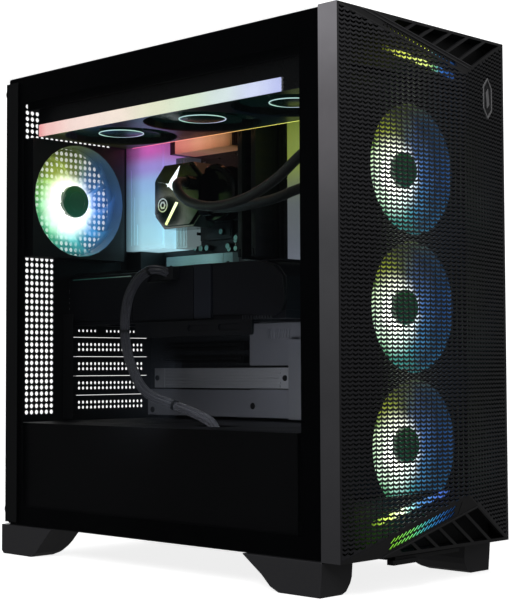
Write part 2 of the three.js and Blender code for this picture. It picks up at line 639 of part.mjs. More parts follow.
add("graphics_card", graphicsCard(), BLACK_PLASTIC);
CARD_FAN_Y.forEach((y, i) => {
  const group = new THREE.Group();
  group.position.set(13, y, CARD.under + 7);
  group.rotation.x = Math.PI;
  add(`graphics_fan_${i + 1}`, fanRotor(15, 43, 9, 17, 5.5), BLACK_PLASTIC, group);
  tower.add(group);
});
add("card_support_bracket", supportBracket(), BLACK_STEEL);
add("graphics_power_cable", powerCable(), RUBBER);

row(5, LOWEST_SLOT, SLOT_PITCH, (z) => z).forEach((z, i) => {
  const cover = block([-35, 77], [REAR_INSIDE - 1.2, REAR_INSIDE], [z - 9.6, z + 9.6]);
  add(`slot_cover_${i + 1}`, cover, BLACK_STEEL);
});

add("power_supply", powerSupply(), BLACK_STEEL);
const rockerMesh = add("power_supply_switch", rocker(), GLOSS_BLACK);
rockerMesh.position.set(ROCKER.x, ROCKER.y, ROCKER.z);
rockerMesh.rotation.x = 0.14;

export default tower;
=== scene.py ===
"""Looks for the desktop tower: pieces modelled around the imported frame, their materials, lights and camera.

Lengths are worked out in millimetres in the frame's own axes (+Z up, front along -Y, glass side along -X)
and turned into metres when a mesh is made.
"""

import json
import math
import random

import bpy
import bmesh
from mathutils import Matrix, Vector
from mathutils.geometry import tessellate_polygon

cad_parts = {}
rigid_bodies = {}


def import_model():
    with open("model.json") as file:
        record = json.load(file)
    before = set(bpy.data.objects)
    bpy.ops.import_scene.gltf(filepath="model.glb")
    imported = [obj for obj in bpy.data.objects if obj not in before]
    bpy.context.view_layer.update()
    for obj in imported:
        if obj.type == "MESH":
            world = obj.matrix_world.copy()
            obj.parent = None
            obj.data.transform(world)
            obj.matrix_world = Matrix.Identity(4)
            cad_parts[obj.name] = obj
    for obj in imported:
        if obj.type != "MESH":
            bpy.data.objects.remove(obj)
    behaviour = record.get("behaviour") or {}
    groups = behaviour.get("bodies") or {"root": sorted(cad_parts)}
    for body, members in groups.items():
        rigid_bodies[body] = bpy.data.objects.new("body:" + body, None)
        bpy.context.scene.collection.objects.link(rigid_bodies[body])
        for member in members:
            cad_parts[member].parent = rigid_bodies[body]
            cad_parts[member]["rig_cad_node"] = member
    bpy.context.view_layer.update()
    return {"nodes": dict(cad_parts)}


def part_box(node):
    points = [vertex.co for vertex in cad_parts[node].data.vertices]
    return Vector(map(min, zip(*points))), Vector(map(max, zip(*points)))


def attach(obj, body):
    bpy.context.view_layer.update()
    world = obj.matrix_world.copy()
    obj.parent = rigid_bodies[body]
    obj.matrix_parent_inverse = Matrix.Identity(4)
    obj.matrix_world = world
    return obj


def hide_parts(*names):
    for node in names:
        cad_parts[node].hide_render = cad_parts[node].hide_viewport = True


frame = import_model()
NODES = frame["nodes"]
MM = 0.001
BOARD_TOP = 78.6  # where what sits on the board ends, just clear of its face

# ---------------------------------------------------------------- camera

CAMERA_AT = (-0.9822, -0.9819, 0.1845)
CAMERA_YAW = math.radians(44.37)
CAMERA_PITCH = math.radians(2.69)
CAMERA_ROLL = math.radians(-0.25)
CAMERA_LENS = 87.08


def make_camera():
    ahead = Vector((
        math.cos(CAMERA_PITCH) * math.cos(CAMERA_YAW),
        math.cos(CAMERA_PITCH) * math.sin(CAMERA_YAW),
        math.sin(CAMERA_PITCH),
    ))
    level = ahead.cross(Vector((0, 0, 1))).normalized()
    upright = level.cross(ahead)
    right = math.cos(CAMERA_ROLL) * level + math.sin(CAMERA_ROLL) * upright
    up = math.cos(CAMERA_ROLL) * upright - math.sin(CAMERA_ROLL) * level
    data = bpy.data.cameras.new("camera")
    data.lens = CAMERA_LENS
    data.sensor_width = 36
    camera = bpy.data.objects.new("camera", data)
    turn = Matrix((right, up, -ahead)).transposed().to_4x4()
    camera.matrix_world = Matrix.Translation(CAMERA_AT) @ turn
    bpy.context.scene.collection.objects.link(camera)
    bpy.context.scene.camera = camera


make_camera()

# ---------------------------------------------------------------- shapes


def limits(node):
    """A CAD node's limits along X, Y and Z, in millimetres."""
    low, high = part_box(node)
    return [(low[i] / MM, high[i] / MM) for i in range(3)]


def circle(u, v, radius, sides=12, turn=0.0):
    step = 2 * math.pi / sides
    return [
        (u + radius * math.cos(turn + k * step), v + radius * math.sin(turn + k * step))
        for k in range(sides)
    ]


def rectangle(u, v):
    return [(u[0], v[0]), (u[1], v[0]), (u[1], v[1]), (u[0], v[1])]


def rounded(u, v, radius, sides=4):
    """A rectangle from its limits, with round corners."""
    corners = [(u[1], v[1], 0), (u[0], v[1], 1), (u[0], v[0], 2), (u[1], v[0], 3)]
    points = []
    for cu, cv, quarter in corners:
        mu = cu - radius if quarter in (0, 3) else cu + radius
        mv = cv - radius if quarter in (0, 1) else cv + radius
        for k in range(sides + 1):
            angle = (quarter + k / sides) * math.pi / 2
            points.append((mu + radius * math.cos(angle), mv + radius * math.sin(angle)))
    return points


def bands(rows, sides, closed=True):
    """The faces between rows of points that go round, and the two end faces if closed."""
    faces = []
    for k in range(rows - 1):
        for i in range(sides):
            a, b = k * sides + i, k * sides + (i + 1) % sides
            faces.append((a, b, b + sides, a + sides))
    if closed:
        last = (rows - 1) * sides
        faces += [tuple(range(sides)), tuple(last + i for i in range(sides))]
    return faces


def carried(path, across):
    """Each point of a path with two directions across it, which don't twist on the way."""
    for i, p in enumerate(path):
        ahead = (path[min(i + 1, len(path) - 1)] - path[max(i - 1, 0)]).normalized()
        across = (across - ahead * across.dot(ahead)).normalized()
        yield p, across, ahead.cross(across)


class Shape:
    """A mesh gathered from closed forms, in millimetres. kind is the material slot of what is added next."""

    def __init__(self):
        self.points, self.faces, self.kinds, self.kind = [], [], [], 0

    def add(self, points, faces):
        base = len(self.points)
        self.points.extend(tuple(p) for p in points)
        self.faces.extend(tuple(base + i for i in f) for f in faces)
        self.kinds.extend([self.kind] * len(faces))
        return self

    def of(self, kind):
        self.kind = kind
        return self

    def box(self, x, y, z):
        points = [(a, b, c) for a in x for b in y for c in z]
        faces = [(0, 1, 3, 2), (4, 6, 7, 5), (0, 4, 5, 1), (2, 3, 7, 6), (0, 2, 6, 4), (1, 5, 7, 3)]
        return self.add(points, faces)

    def prism(self, outline, axis, low, high, holes=(), place=None):
        """An outline with holes, pushed along an axis or by place, a function of (u, v, depth).
        Its points are (y, z) along x, (x, z) along y and (x, y) along z."""
        own = {
            "x": lambda u, v, w: (w, u, v), "y": lambda u, v, w: (u, w, v), "z": lambda u, v, w: (u, v, w),
        }
        place = place or own[axis]
        loops = [list(outline)] + [list(h) for h in holes]
        flat = [p for loop in loops for p in loop]
        count = len(flat)
        caps = [tuple(range(count))]
        if holes:
            caps = tessellate_polygon([[Vector((u, v, 0)) for u, v in loop] for loop in loops])
        points = [place(u, v, low) for u, v in flat] + [place(u, v, high) for u, v in flat]
        faces = [tuple(c) for c in caps] + [tuple(i + count for i in reversed(c)) for c in caps]
        start = 0
        for loop in loops:
            n = len(loop)
            for i in range(n):
                a, b = start + i, start + (i + 1) % n
                faces.append((a, b, b + count, a + count))
            start += n
        return self.add(points, faces)

    def rod(self, a, b, radius, sides=20, end_radius=None):
        """A round bar between two points, which tapers to end_radius if that is given."""
        along = Vector(b) - Vector(a)
        end_radius = radius if end_radius is None else end_radius
        return self.lathe([(radius, 0), (end_radius, along.length)], a, along, sides)

    def lathe(self, profile, middle, axis, sides=40, closed=True):
        """A profile of (radius, height) points turned about an axis through middle.
        closed fills its two ends."""
        middle, along = Vector(middle), Vector(axis).normalized()
        side = along.orthogonal().normalized()
        other = along.cross(side)
        points = [
            middle + side * (r * u) + other * (r * v) + along * h
            for r, h in profile for u, v in circle(0, 0, 1, sides)
        ]
        return self.add(points, bands(len(profile), sides, closed))

    def ring(self, middle, axis, radius, thick, sides=48, across=8):
        """A round ring of round section."""
        section = [(radius + r, h) for r, h in circle(0, 0, thick, across)]
        return self.lathe(section + section[:1], middle, axis, sides, closed=False)

    def tube(self, path, radius, sides=12):
        start = (path[1] - path[0]).orthogonal().normalized()
        points = [
            p + a * u + b * v for p, a, b in carried(path, start) for u, v in circle(0, 0, radius, sides)
        ]
        return self.add(points, bands(len(path), sides))

    def done(self, name, finishes, slot=None, replaces=(), bevel=0.0, body="chassis", origin=(0, 0, 0)):
        """Makes the object, with one material for each kind, and has it ride on its body."""
        mesh = bpy.data.meshes.new(name)
        start = Vector(origin)
        mesh.from_pydata([(Vector(p) - start) * MM for p in self.points], [], self.faces)
        mesh.polygons.foreach_set("material_index", self.kinds)
        for finish in finishes if isinstance(finishes, (list, tuple)) else [finishes]:
            mesh.materials.append(finish)
        work = bmesh.new()
        work.from_mesh(mesh)
        bmesh.ops.remove_doubles(work, verts=work.verts, dist=MERGE)
        bmesh.ops.recalc_face_normals(work, faces=work.faces)
        work.to_mesh(mesh)
        work.free()
        made = bpy.data.objects.new(name, mesh)
        made.location = start * MM
        bpy.context.scene.collection.objects.link(made)
        soften(made, bevel)
        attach(made, body)
        if replaces:
            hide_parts(*replaces)
        return made


SHARP = math.radians(34)
BEVEL_FROM = math.radians(40)
MERGE = 1e-6  # metres within which points of a piece are one
CAD_MERGE = 2e-6


def soften(made, bevel):
    """Rounds the edges a little, so that they catch the light, and smooths what is nearly flat."""
    if bevel:
        cut = made.modifiers.new("edges", "BEVEL")
        cut.width = bevel * MM
        cut.segments = 2
        cut.limit_method = "ANGLE"
        cut.angle_limit = BEVEL_FROM
        cut.use_clamp_overlap = True
        cut.harden_normals = True
    if "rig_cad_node" not in made:
        made.data.shade_smooth()
        made.data.set_sharp_from_angle(angle=SHARP)


def finish_node(name, finish, bevel=0.4):
    """Gives a CAD node its material and rounds its edges with modifiers; its mesh stays as it is."""
    node = NODES[name]
    if not node.material_slots:
        node.data.materials.append(finish)
    for s in node.material_slots:
        s.link = "OBJECT"
        s.material = finish
    if bevel:
        weld = node.modifiers.new("weld", "WELD")
        weld.merge_threshold = CAD_MERGE
        soften(node, bevel)


def smooth_path(points, steps):
    """A Catmull-Rom curve through points, with so many steps along it."""
    points = [Vector(p) for p in points]
    path = []
    for k in range(steps + 1):
        t = k / steps * (len(points) - 1)
        i = min(int(t), len(points) - 2)
        t -= i
        p0, p1, p2, p3 = (points[min(max(i + d, 0), len(points) - 1)] for d in (-1, 0, 1, 2))
        path.append(0.5 * (
            2 * p1 + (p2 - p0) * t + (2 * p0 - 5 * p1 + 4 * p2 - p3) * t * t
            + (3 * p1 - p0 - 3 * p2 + p3) * t * t * t
        ))
    return path


# ---------------------------------------------------------------- materials


def grey(shade):
    return (shade, shade, shade, 1)


def colour(r, g, b):
    """A linear colour from sRGB values of 0 to 255."""
    def linear(c):
        c /= 255
        return c / 12.92 if c <= 0.04045 else ((c + 0.055) / 1.055) ** 2.4
    return (linear(r), linear(g), linear(b), 1.0)


class Tree:
    """A new material's nodes, with short calls to make and join them."""

    def __init__(self, name):
        self.material = bpy.data.materials.new(name)
        self.material.use_nodes = True
        self.nodes = self.material.node_tree.nodes
        self.links = self.material.node_tree.links
        self.nodes.clear()
        self.place = self.node("ShaderNodeTexCoord").outputs["Object"]

    def node(self, kind, inputs=None, **settings):
        made = self.nodes.new(kind)
        for key, value in settings.items():
            setattr(made, key, value)
        for key, value in (inputs or {}).items():
            if isinstance(value, bpy.types.NodeSocket):
                self.links.new(value, made.inputs[key])
            else:
                made.inputs[key].default_value = value
        return made

    def noise(self, scale, detail=3.0, stretch=None):
        place = self.place
        if stretch:
            place = self.node("ShaderNodeMapping", {"Vector": place, "Scale": stretch}).outputs[0]
        return self.node(
            "ShaderNodeTexNoise", {"Vector": place, "Scale": scale, "Detail": detail},
        ).outputs["Fac"]

    def spread(self, value, low, high, start=0.0, end=1.0):
        inputs = {"Value": value, "From Min": start, "From Max": end, "To Min": low, "To Max": high}
        return self.node("ShaderNodeMapRange", inputs).outputs[0]

    def maths(self, operation, a, b=0.0):
        return self.node("ShaderNodeMath", {0: a, 1: b}, operation=operation).outputs[0]

    def mix(self, share, a, b, blend="MIX"):
        made = self.node("ShaderNodeMix", {0: share, 6: a, 7: b}, data_type="RGBA", blend_type=blend)
        return made.outputs[2]

    def ramp(self, value, marks):
        made = self.node("ShaderNodeValToRGB", {0: value})
        ramp = made.color_ramp
        ramp.interpolation = "EASE"
        ramp.elements[0].position, ramp.elements[0].color = marks[0]
        ramp.elements[1].position, ramp.elements[1].color = marks[-1]
        for position, shade in marks[1:-1]:
            ramp.elements.new(position).color = shade
        return made.outputs[0]

    def along(self, axis, low, high):
        """0 to 1 along an axis between two places in millimetres."""
        parts = self.node("ShaderNodeSeparateXYZ", {0: self.place})
        return self.spread(parts.outputs["XYZ".index(axis)], 0.0, 1.0, low * MM, high * MM)

    def shader(self, inputs):
        made = self.node("ShaderNodeBsdfPrincipled", inputs)
        self.node("ShaderNodeOutputMaterial", {"Surface": made.outputs[0]})
        return self.material


def surface(
    name, base, rough=0.5, metal=0.0, vary=0.25, grain=900.0, bump=0.15, stretch=None, spots=0.0,
    coat=0.0, specular=0.5, painted_tint=None, glow=None, strength=1.0, fade=None,
):
    """A finish with broad random changes of tone and roughness and a fine grain in its relief; base is in
    sRGB.
    painted_tint and glow are (axis, low, high, stops) ramps for the base colour and for light of its own;
    painted_tint is always painted reflected light, and glow is a lit part's own light or, on unlit parts, a
    painted sheen or reflection. fade is (axis, dark, bright), the places between which that light comes up."""
    tree = Tree(name)
    broad = tree.noise(14.0, 4.0)
    fine = tree.noise(grain, 3.0, stretch)
    shade = tree.ramp(tree.along(*painted_tint[:3]), painted_tint[3]) if painted_tint else colour(*base)
    darker = tree.mix(1.0, shade, grey(1 - vary), "MULTIPLY")
    lighter = tree.mix(1.0, shade, grey(1 + vary), "MULTIPLY")
    both = tree.mix(tree.spread(fine, 0.0, 1.0, 0.25, 0.75), darker, lighter)
    mixed = tree.mix(tree.spread(broad, 0.35, 0.65, 0.3, 0.7), both, shade)
    if spots:
        cells = tree.node("ShaderNodeTexVoronoi", {"Vector": tree.place, "Scale": spots})
        flecks = tree.spread(cells.outputs["Distance"], 1.0, 0.0, 0.05, 0.25)
        mixed = tree.mix(tree.maths("MULTIPLY", flecks, 0.35), mixed, (0.3, 0.3, 0.32, 1))
    roughness = tree.spread(tree.maths("ADD", broad, fine), rough - 0.07, rough + 0.07, 0.7, 1.3)
    relief = tree.node("ShaderNodeBump", {"Strength": bump, "Distance": 0.0004, "Height": fine})
    inputs = {
        "Base Color": mixed, "Roughness": roughness, "Metallic": metal, "Normal": relief.outputs[0],
        "Coat Weight": coat, "Coat Roughness": 0.08, "Specular IOR Level": specular,
    }
    if glow:
        lit = tree.ramp(tree.along(*glow[:3]), glow[3])
        uneven = tree.noise(60.0, 4.0)
        lit = tree.mix(tree.spread(uneven, 0.0, 0.14, 0.35, 0.65), lit, grey(0.55), "MULTIPLY")
        if fade:
            lit = tree.mix(tree.along(*fade), grey(0), lit)
        inputs["Emission Color"] = lit
        inputs["Emission Strength"] = strength
    return tree.shader(inputs)


def stops(*marks):
    """Ramp stops from (position, red, green, blue)."""
    return [(place, colour(*shade)) for place, *shade in marks]


def even(shades):
    """Ramp stops at even spacing."""
    return [(k / (len(shades) - 1), colour(*s)) for k, s in enumerate(shades)]


STEEL = surface("black_steel", (19, 20, 22), 0.46, 0.35, grain=1400, bump=0.25)
WALL = surface("inner_wall", (8, 9, 11), 0.5, 0.2, grain=1400, bump=0.2)
PANEL = surface("panel_steel", (24, 25, 27), 0.42, 0.4, grain=1600, bump=0.3)
SHROUD = surface("shroud_steel", (9, 9, 11), 0.45, 0.1, grain=1600, bump=0.2, specular=0.25)
PLASTIC = surface("satin_plastic", (22, 23, 25), 0.42, grain=1800, bump=0.22)
# Painted sheen: the bezel's -X side face glows from dark at the bottom to pale grey at the top, standing in
# for a reflection of the key lamp; fade keeps the glow to that face.
BEZEL_PAINTED_SHEEN = surface(
    "bezel_plastic", (36, 36, 38), 0.36, grain=2000, bump=0.16,
    glow=("Z", 29, 480, stops(
        (0.0, 32, 32, 34), (0.25, 41, 41, 43), (0.55, 58, 58, 60), (0.8, 92, 90, 93),
        (1.0, 126, 124, 128))),
    strength=0.95, fade=("X", -114.4, -114.9),
)
DARK = surface("dark_plastic", (13, 14, 16), 0.4, grain=1500, bump=0.2)
GLOSS = surface("gloss_plastic", (8, 9, 11), 0.14, vary=0.1, grain=500, bump=0.02, coat=0.3)
FRIT = surface("printed_border", (2, 2, 3), 0.3, vary=0.3, grain=2500, bump=0.02, specular=0.05)
MESH = surface("mesh_steel", (54, 54, 58), 0.38, 0.3, grain=1500, bump=0.2)
FOOT = surface("foot_plastic", (56, 56, 59), 0.42, grain=1100, bump=0.35)
BOARD = surface("board_laminate", (26, 28, 31), 0.5, vary=0.5, grain=420, bump=0.3, spots=520)
SILVER = surface(
    "brushed_silver", (176, 178, 184), 0.36, 0.5, vary=0.1, grain=240, bump=0.12, stretch=(1, 1, 28),
)
GREY = surface(
    "grey_anodised", (122, 124, 132), 0.42, 0.3, vary=0.12, grain=260, bump=0.1, stretch=(1, 26, 1),
)
BRIGHT = surface("bright_steel", (205, 207, 210), 0.28, 0.9, vary=0.08, grain=700, bump=0.08)
SCREW = surface("screw_steel", (70, 71, 74), 0.35, 0.9, grain=1500, bump=0.2)
CARD = surface("card_plastic", (13, 14, 18), 0.4, grain=1500, bump=0.2, specular=0.25)
CARD_BAND = surface("card_band", (34, 37, 45), 0.4, 0.5, grain=300, bump=0.1, stretch=(1, 1, 20))


# ---------------------------------------------------------------- glass side panel

GLASS = Tree("tinted_glass")
GLASS_CLEAR = 0.14  # share of light that each face of the pane takes away


def glass_material():
    smudge = GLASS.noise(22.0, 5.0)
    return GLASS.shader({
        "Base Color": GLASS.ramp(
            GLASS.noise(6.0), [(0.3, (0.004, 0.005, 0.006, 1)), (0.7, (0.007, 0.008, 0.01, 1))],
        ),
        "Roughness": GLASS.spread(smudge, 0.015, 0.05, 0.3, 0.7),
        "Specular IOR Level": 0.1,
        "IOR": 1.45,
        "Alpha": GLASS_CLEAR,
    })


def glass_panel():
    x, y, z = limits("glass_side_panel")
    pane = Shape().prism(rounded(y, z, 2.5), "x", x[0], x[1] - 0.5)
    pane.done(
        "glass_pane", glass_material(), "tinted_glass", ["glass_side_panel"], bevel=0.5, body="glass_panel",
    )
    clear = rounded((y[0] + 24, y[1] - 25), (z[0] + 18.5, z[1] - 27), 3)
    edge = rounded((y[0] + 0.8, y[1] - 0.8), (z[0] + 0.8, z[1] - 0.8), 2)
    border = Shape().prism(edge, "x", x[1] - 0.45, x[1] - 0.1, [clear])
    border.done("glass_printed_border", FRIT, "tinted_glass", ["glass_side_panel"], body="glass_panel")


glass_panel()


def thumbscrew(shape, x, y, z):
    """A knurled thumbscrew whose axis is along Y, standing on a flange at y."""
    teeth = [(6.5 if k % 2 else 6.0) for k in range(44)]
    rim = [
        (x + r * math.cos(k * math.pi / 22), z + r * math.sin(k * math.pi / 22)) for k,
        r in enumerate(teeth)
    ]
    shape.rod((x, y, z), (x, y + 2.2, z), 3, 16)
    shape.prism(rim, "y", y + 2, y + 6.1)
    shape.rod((x, y + 6, z), (x, y + 6.7, z), 5.2, 24, 4.6)


def side_flanges():
    x, y, z = limits("glass_panel_flange")
    low = y[1] - 8
    flange = Shape()
    flange.box((x[0] + 0.5, x[0] + 1.5), (y[0], low), z)
    flange.box((x[0], x[1]), (low - 0.7, low), z)
    for height in (z[0] + 12, z[1] - 9):
        thumbscrew(flange, -105, low, height)
    flange.done(
        "glass_flange_and_screws", [STEEL], "chassis_steel", ["glass_panel_flange"], bevel=0.25,
        body="glass_panel",
    )
    x, y, z = limits("steel_side_panel")
    panel = Shape()
    outline = rounded((y[0], low), z, 2)
    panel.prism(outline, "x", x[1] - 1, x[1])
    panel.box((x[0], x[1] - 0.5), (low - 1, low), (z[0] + 2.5, z[1] - 6))
    for height in (z[0] + 14.5, z[1] - 15):
        thumbscrew(panel, 105, low, height)
    panel.done(
        "steel_panel_sheet", [PANEL], "panel_steel", ["steel_side_panel"], bevel=0.3, body="steel_panel",
    )


side_flanges()

# ---------------------------------------------------------------- front panel

FACE = limits("front_bezel")
LEFT, RIGHT = FACE[0]
FOOT_TOP, TOP = FACE[2]
NOSE = FACE[1][0]
PROW = 20.0
FRONT = NOSE + PROW
RIDGE_X = 30.0
RIDGE_TOP, RIDGE_BOTTOM = TOP - 41, FOOT_TOP + 45.5
MESH_RIM = 1.75


def face_y(x, z):
    """The depth of the front panel's outer face at a place in its elevation."""
    share = min(
        (x - LEFT) / (RIDGE_X - LEFT), (RIGHT - x) / (RIGHT - RIDGE_X),
        (TOP - z) / (TOP - RIDGE_TOP), (z - FOOT_TOP) / (RIDGE_BOTTOM - FOOT_TOP),
    )
    return FRONT - PROW * share


def side_y(x):
    """As face_y, but only for the two tall facets, so that a piece stays flat on one of them."""
    return FRONT - PROW * min((x - LEFT) / (RIDGE_X - LEFT), (RIGHT - x) / (RIGHT - RIDGE_X))


def on_face(u, v, w):
    return (u, face_y(u, v) + w, v)


def on_side(u, v, w):
    return (u, side_y(u) + w, v)


def fold(x, top):
    """Height of the top or bottom fold at x."""
    edge, ridge = (TOP, RIDGE_TOP) if top else (FOOT_TOP, RIDGE_BOTTOM)
    far = LEFT if x < RIDGE_X else RIGHT
    return edge + (ridge - edge) * (x - far) / (RIDGE_X - far)


def inside(point, outline, margin):
    """True if a point lies inside a convex outline, given anticlockwise, by a margin."""
    for (ax, ay), (bx, by) in zip(outline, outline[1:] + outline[:1]):
        away = ((bx - ax) * (point[1] - ay) - (by - ay) * (point[0] - ax)) / math.hypot(bx - ax, by - ay)
        if away < margin:
            return False
    return True


HOLE_PITCH, HOLE_RISE = 6.2, 3.6


def mesh_cell(u, v):
    """A cell of the front mesh about one V-shaped hole: its eight border points and the hole's six."""
    half, rise, thick = 3.0, 1.39, 0.92
    side, edge = HOLE_PITCH / 2, 1.39 * HOLE_PITCH / 2 / 3.0
    border = [
        (u - side, v + edge - HOLE_RISE / 2), (u, v - HOLE_RISE / 2), (u + side, v + edge - HOLE_RISE / 2),
        (u + side, v + edge), (u + side, v + edge + HOLE_RISE / 2), (u, v + HOLE_RISE / 2),
        (u - side, v + edge + HOLE_RISE / 2), (u - side, v + edge),
    ]
    hole = [
        (u - half, v + rise - thick), (u, v - thick), (u + half, v + rise - thick),
        (u + half, v + rise + thick), (u, v + thick), (u - half, v + rise + thick),
    ]
    return border, hole


# The faces between a cell's border (0 to 7) and its hole (8 to 13).
CELL_FACES = [
    (0, 1, 9, 8), (1, 2, 10, 9), (2, 3, 10), (3, 11, 10), (3, 4, 11), (4, 5, 12, 11), (5, 6, 13, 12),
    (6, 7, 13),
    (7, 8, 13), (7, 0, 8),
]


def mesh_sheet(name, outline):
    """One facet's sheet, with holes wherever a whole one fits in its convex outline."""
    work = bmesh.new()
    near, far = 0.05, 1.05
    for i in range(int(LEFT / HOLE_PITCH) - 2, int(RIGHT / HOLE_PITCH) + 2):
        for k in range(int(FOOT_TOP / HOLE_RISE) - 1, int(TOP / HOLE_RISE) + 2):
            u_mid, v_mid = i * HOLE_PITCH + 2.1, k * HOLE_RISE
            border, hole = mesh_cell(u_mid, v_mid)
            if not any(inside(p, outline, -0.1) for p in border):
                continue
            open_here = inside((u_mid, v_mid), outline, 0.2)
            points = border + hole if open_here else border
            layers = [[work.verts.new((u, w, v)) for u, v in points] for w in (near, far)]
            faces = CELL_FACES if open_here else [tuple(range(8))]
            for layer in layers:
                for f in faces:
                    work.faces.new([layer[n] for n in f])
            for a, b in zip(range(8, 14), (9, 10, 11, 12, 13, 8)) if open_here else ():
                work.faces.new((layers[0][a], layers[0][b], layers[1][b], layers[1][a]))
    bmesh.ops.remove_doubles(work, verts=work.verts, dist=1e-3)
    for (ax, az), (bx, bz) in zip(outline, outline[1:] + outline[:1]):
        parts = work.verts[:] + work.edges[:] + work.faces[:]
        away = (bz - az, 0, ax - bx)
        bmesh.ops.bisect_plane(work, geom=parts, plane_co=(ax, 0, az), plane_no=away, clear_outer=True)
        rim = [e for e in work.edges if e.is_boundary and all(
            abs((v.co.x - ax) * away[0] + (v.co.z - az) * away[2]) < 1e-2 for v in e.verts)]
        for e in [e for e in rim if all(v.co.y < 1 for v in e.verts)]:
            a, b = e.verts
            twins = [work.verts.new((v.co.x, far, v.co.z)) for v in (a, b)]
            work.faces.new((a, b, twins[1], twins[0]))
    bmesh.ops.remove_doubles(work, verts=work.verts, dist=1e-3)
    bmesh.ops.recalc_face_normals(work, faces=work.faces)
    sheet = Shape()
    work.verts.index_update()
    sheet.add(
        [on_side(v.co.x, v.co.z, v.co.y) for v in work.verts],
        [[v.index for v in f.verts] for f in work.faces],
    )
    work.free()
    sheet.done(name, MESH, "mesh_steel", ["front_mesh"], body="front_panel")


def front_mesh():
    x0, x1, xm = LEFT + 1.35, RIGHT - 1.35, RIDGE_X
    low, high = RIDGE_BOTTOM + MESH_RIM, RIDGE_TOP - MESH_RIM
    left = [(x0, fold(x0, False) + MESH_RIM), (xm, low), (xm, high), (x0, fold(x0, True) - MESH_RIM)]
    right = [(xm, low), (x1, fold(x1, False) + MESH_RIM), (x1, fold(x1, True) - MESH_RIM), (xm, high)]
    mesh_sheet("front_mesh_wide_facet", left)
    mesh_sheet("front_mesh_narrow_facet", right)


front_mesh()
finish_node("front_bezel", BEZEL_PAINTED_SHEEN, 0.5)


def guide_light(name, marks, strength):
    """A light guide's finish; marks are (x, colour) pairs."""
    first, last = marks[0][0], marks[-1][0]
    ramp = [((x - first) / (last - first), colour(*shade)) for x, shade in marks]
    return surface(name, (60, 62, 60), 0.4, glow=("X", first, last, ramp), strength=strength)


BAND_TOP = guide_light("band_light_top", [
    (-56, (0, 0, 0)), (-38, (84, 90, 24)), (-22, (140, 150, 44)), (-9, (200, 210, 76)),
    (0, (50, 110, 130)), (11, (26, 62, 110)), (28, (8, 18, 40)),
], 2.4)
CURVE_TOP = guide_light("curve_light_top", [
    (-68, (0, 0, 0)), (-58, (70, 76, 18)), (-42, (190, 200, 80)), (-12, (206, 222, 120)),
    (-3, (90, 150, 100)), (6, (40, 90, 160)), (18, (24, 54, 104)), (30, (8, 20, 50)),
], 1.6)
BAND_LOW = guide_light("band_light_bottom", [
    (-66, (4, 14, 8)), (-52, (120, 190, 50)), (-30, (120, 220, 100)), (-22, (90, 210, 160)),
    (-11, (60, 150, 190)), (3, (40, 100, 170)), (14, (20, 52, 96)), (30, (6, 14, 30)),
], 2.2)
CURVE_LOW = guide_light("curve_light_bottom", [
    (-80, (0, 0, 0)), (-72, (90, 120, 30)), (-60, (190, 220, 90)), (-45, (235, 250, 200)),
    (-36, (140, 200, 190)), (-24, (60, 110, 160)), (0, (50, 80, 150)), (16, (8, 16, 34)),
], 2.4)
RAIL = surface("fold_rail", (64, 64, 67), 0.45, grain=900, bump=0.15)


def fold_line(top, x, offset):
    """Height at x of a line along the wide facet's fold, offset from it towards the louvres."""
    edge, ridge = (TOP, RIDGE_TOP) if top else (FOOT_TOP, RIDGE_BOTTOM)
    return edge + (ridge - edge) * (x - LEFT) / (RIDGE_X - LEFT) + (offset if top else -offset)


def fold_strip(top, x0, x1, offset, half):
    """A strip along the fold, half being its reach to each side of its middle line."""
    z0, z1 = fold_line(top, x0, offset), fold_line(top, x1, offset)
    return [(x0, z0 - half), (x1, z1 - half), (x1, z1 + half), (x0, z0 + half)]


# Of the grilles over the light guides: where each starts, its middle line, its half width, its rows of
# slots and how far a slot reaches up and down.
GRILLES = {True: (-64, 3.8, 2.5, (2.45, 5.15), 1.15), False: (-59, 7, 5.5, (4.2, 9.8), 2.3)}
GRILLE_END = 21.8
GRILLE_PITCH = 4.3
SLOT_HALF = 1.35
CURVE_HALF = 2.3
CURVE_STEPS = 24


def light_guide(top, name, finishes):
    """The band under the grille, and the curved guide that shows through the mesh."""
    start, middle, half = GRILLES[top][:3]
    band = fold_strip(top, start - 2, 25, middle, half + 0.7)
    guide = Shape().prism(band, "y", 4.0, 5.5, place=on_face)
    curve = []
    for k in range(CURVE_STEPS + 1):
        x = -60 + k * 3.4 if top else -76 + k * 3.6
        back = (CURVE_STEPS - k) / CURVE_STEPS
        away = 7 + 8 * back ** 1.6 if top else 11.5 + 4.5 * back
        curve.append((x, fold_line(top, x, -away)))
    lower = [(x, z - CURVE_HALF) for x, z in curve]
    upper = [(x, z + CURVE_HALF) for x, z in reversed(curve)]
    guide.of(1).prism(lower + upper, "y", 3.9, 5.6, place=on_side)
    guide.done("light_guide_" + name, finishes, "light_guide", ["front_light_" + name], body="front_panel")


def light_grille(top, name):
    start, middle, half, rows, tall = GRILLES[top]
    lean = 0.7 * tall
    slots = []
    for k in range(int((22 - start - 5) / GRILLE_PITCH)):
        for n, offset in enumerate(rows):
            x = start + 3.4 + k * GRILLE_PITCH + n * 0.9
            z = fold_line(top, x, offset)
            slots.append([
                (x - SLOT_HALF - lean, z - tall), (x + SLOT_HALF - lean, z - tall),
                (x + SLOT_HALF + lean, z + tall), (x - SLOT_HALF + lean, z + tall),
            ])
    sheet = fold_strip(top, start + 0.2, GRILLE_END, middle, half)
    grille = Shape().prism(sheet, "y", 0.3, 1.6, slots, on_face)
    grille.done("light_grille_" + name, BEZEL_PAINTED_SHEEN, "bezel_plastic", body="front_panel")


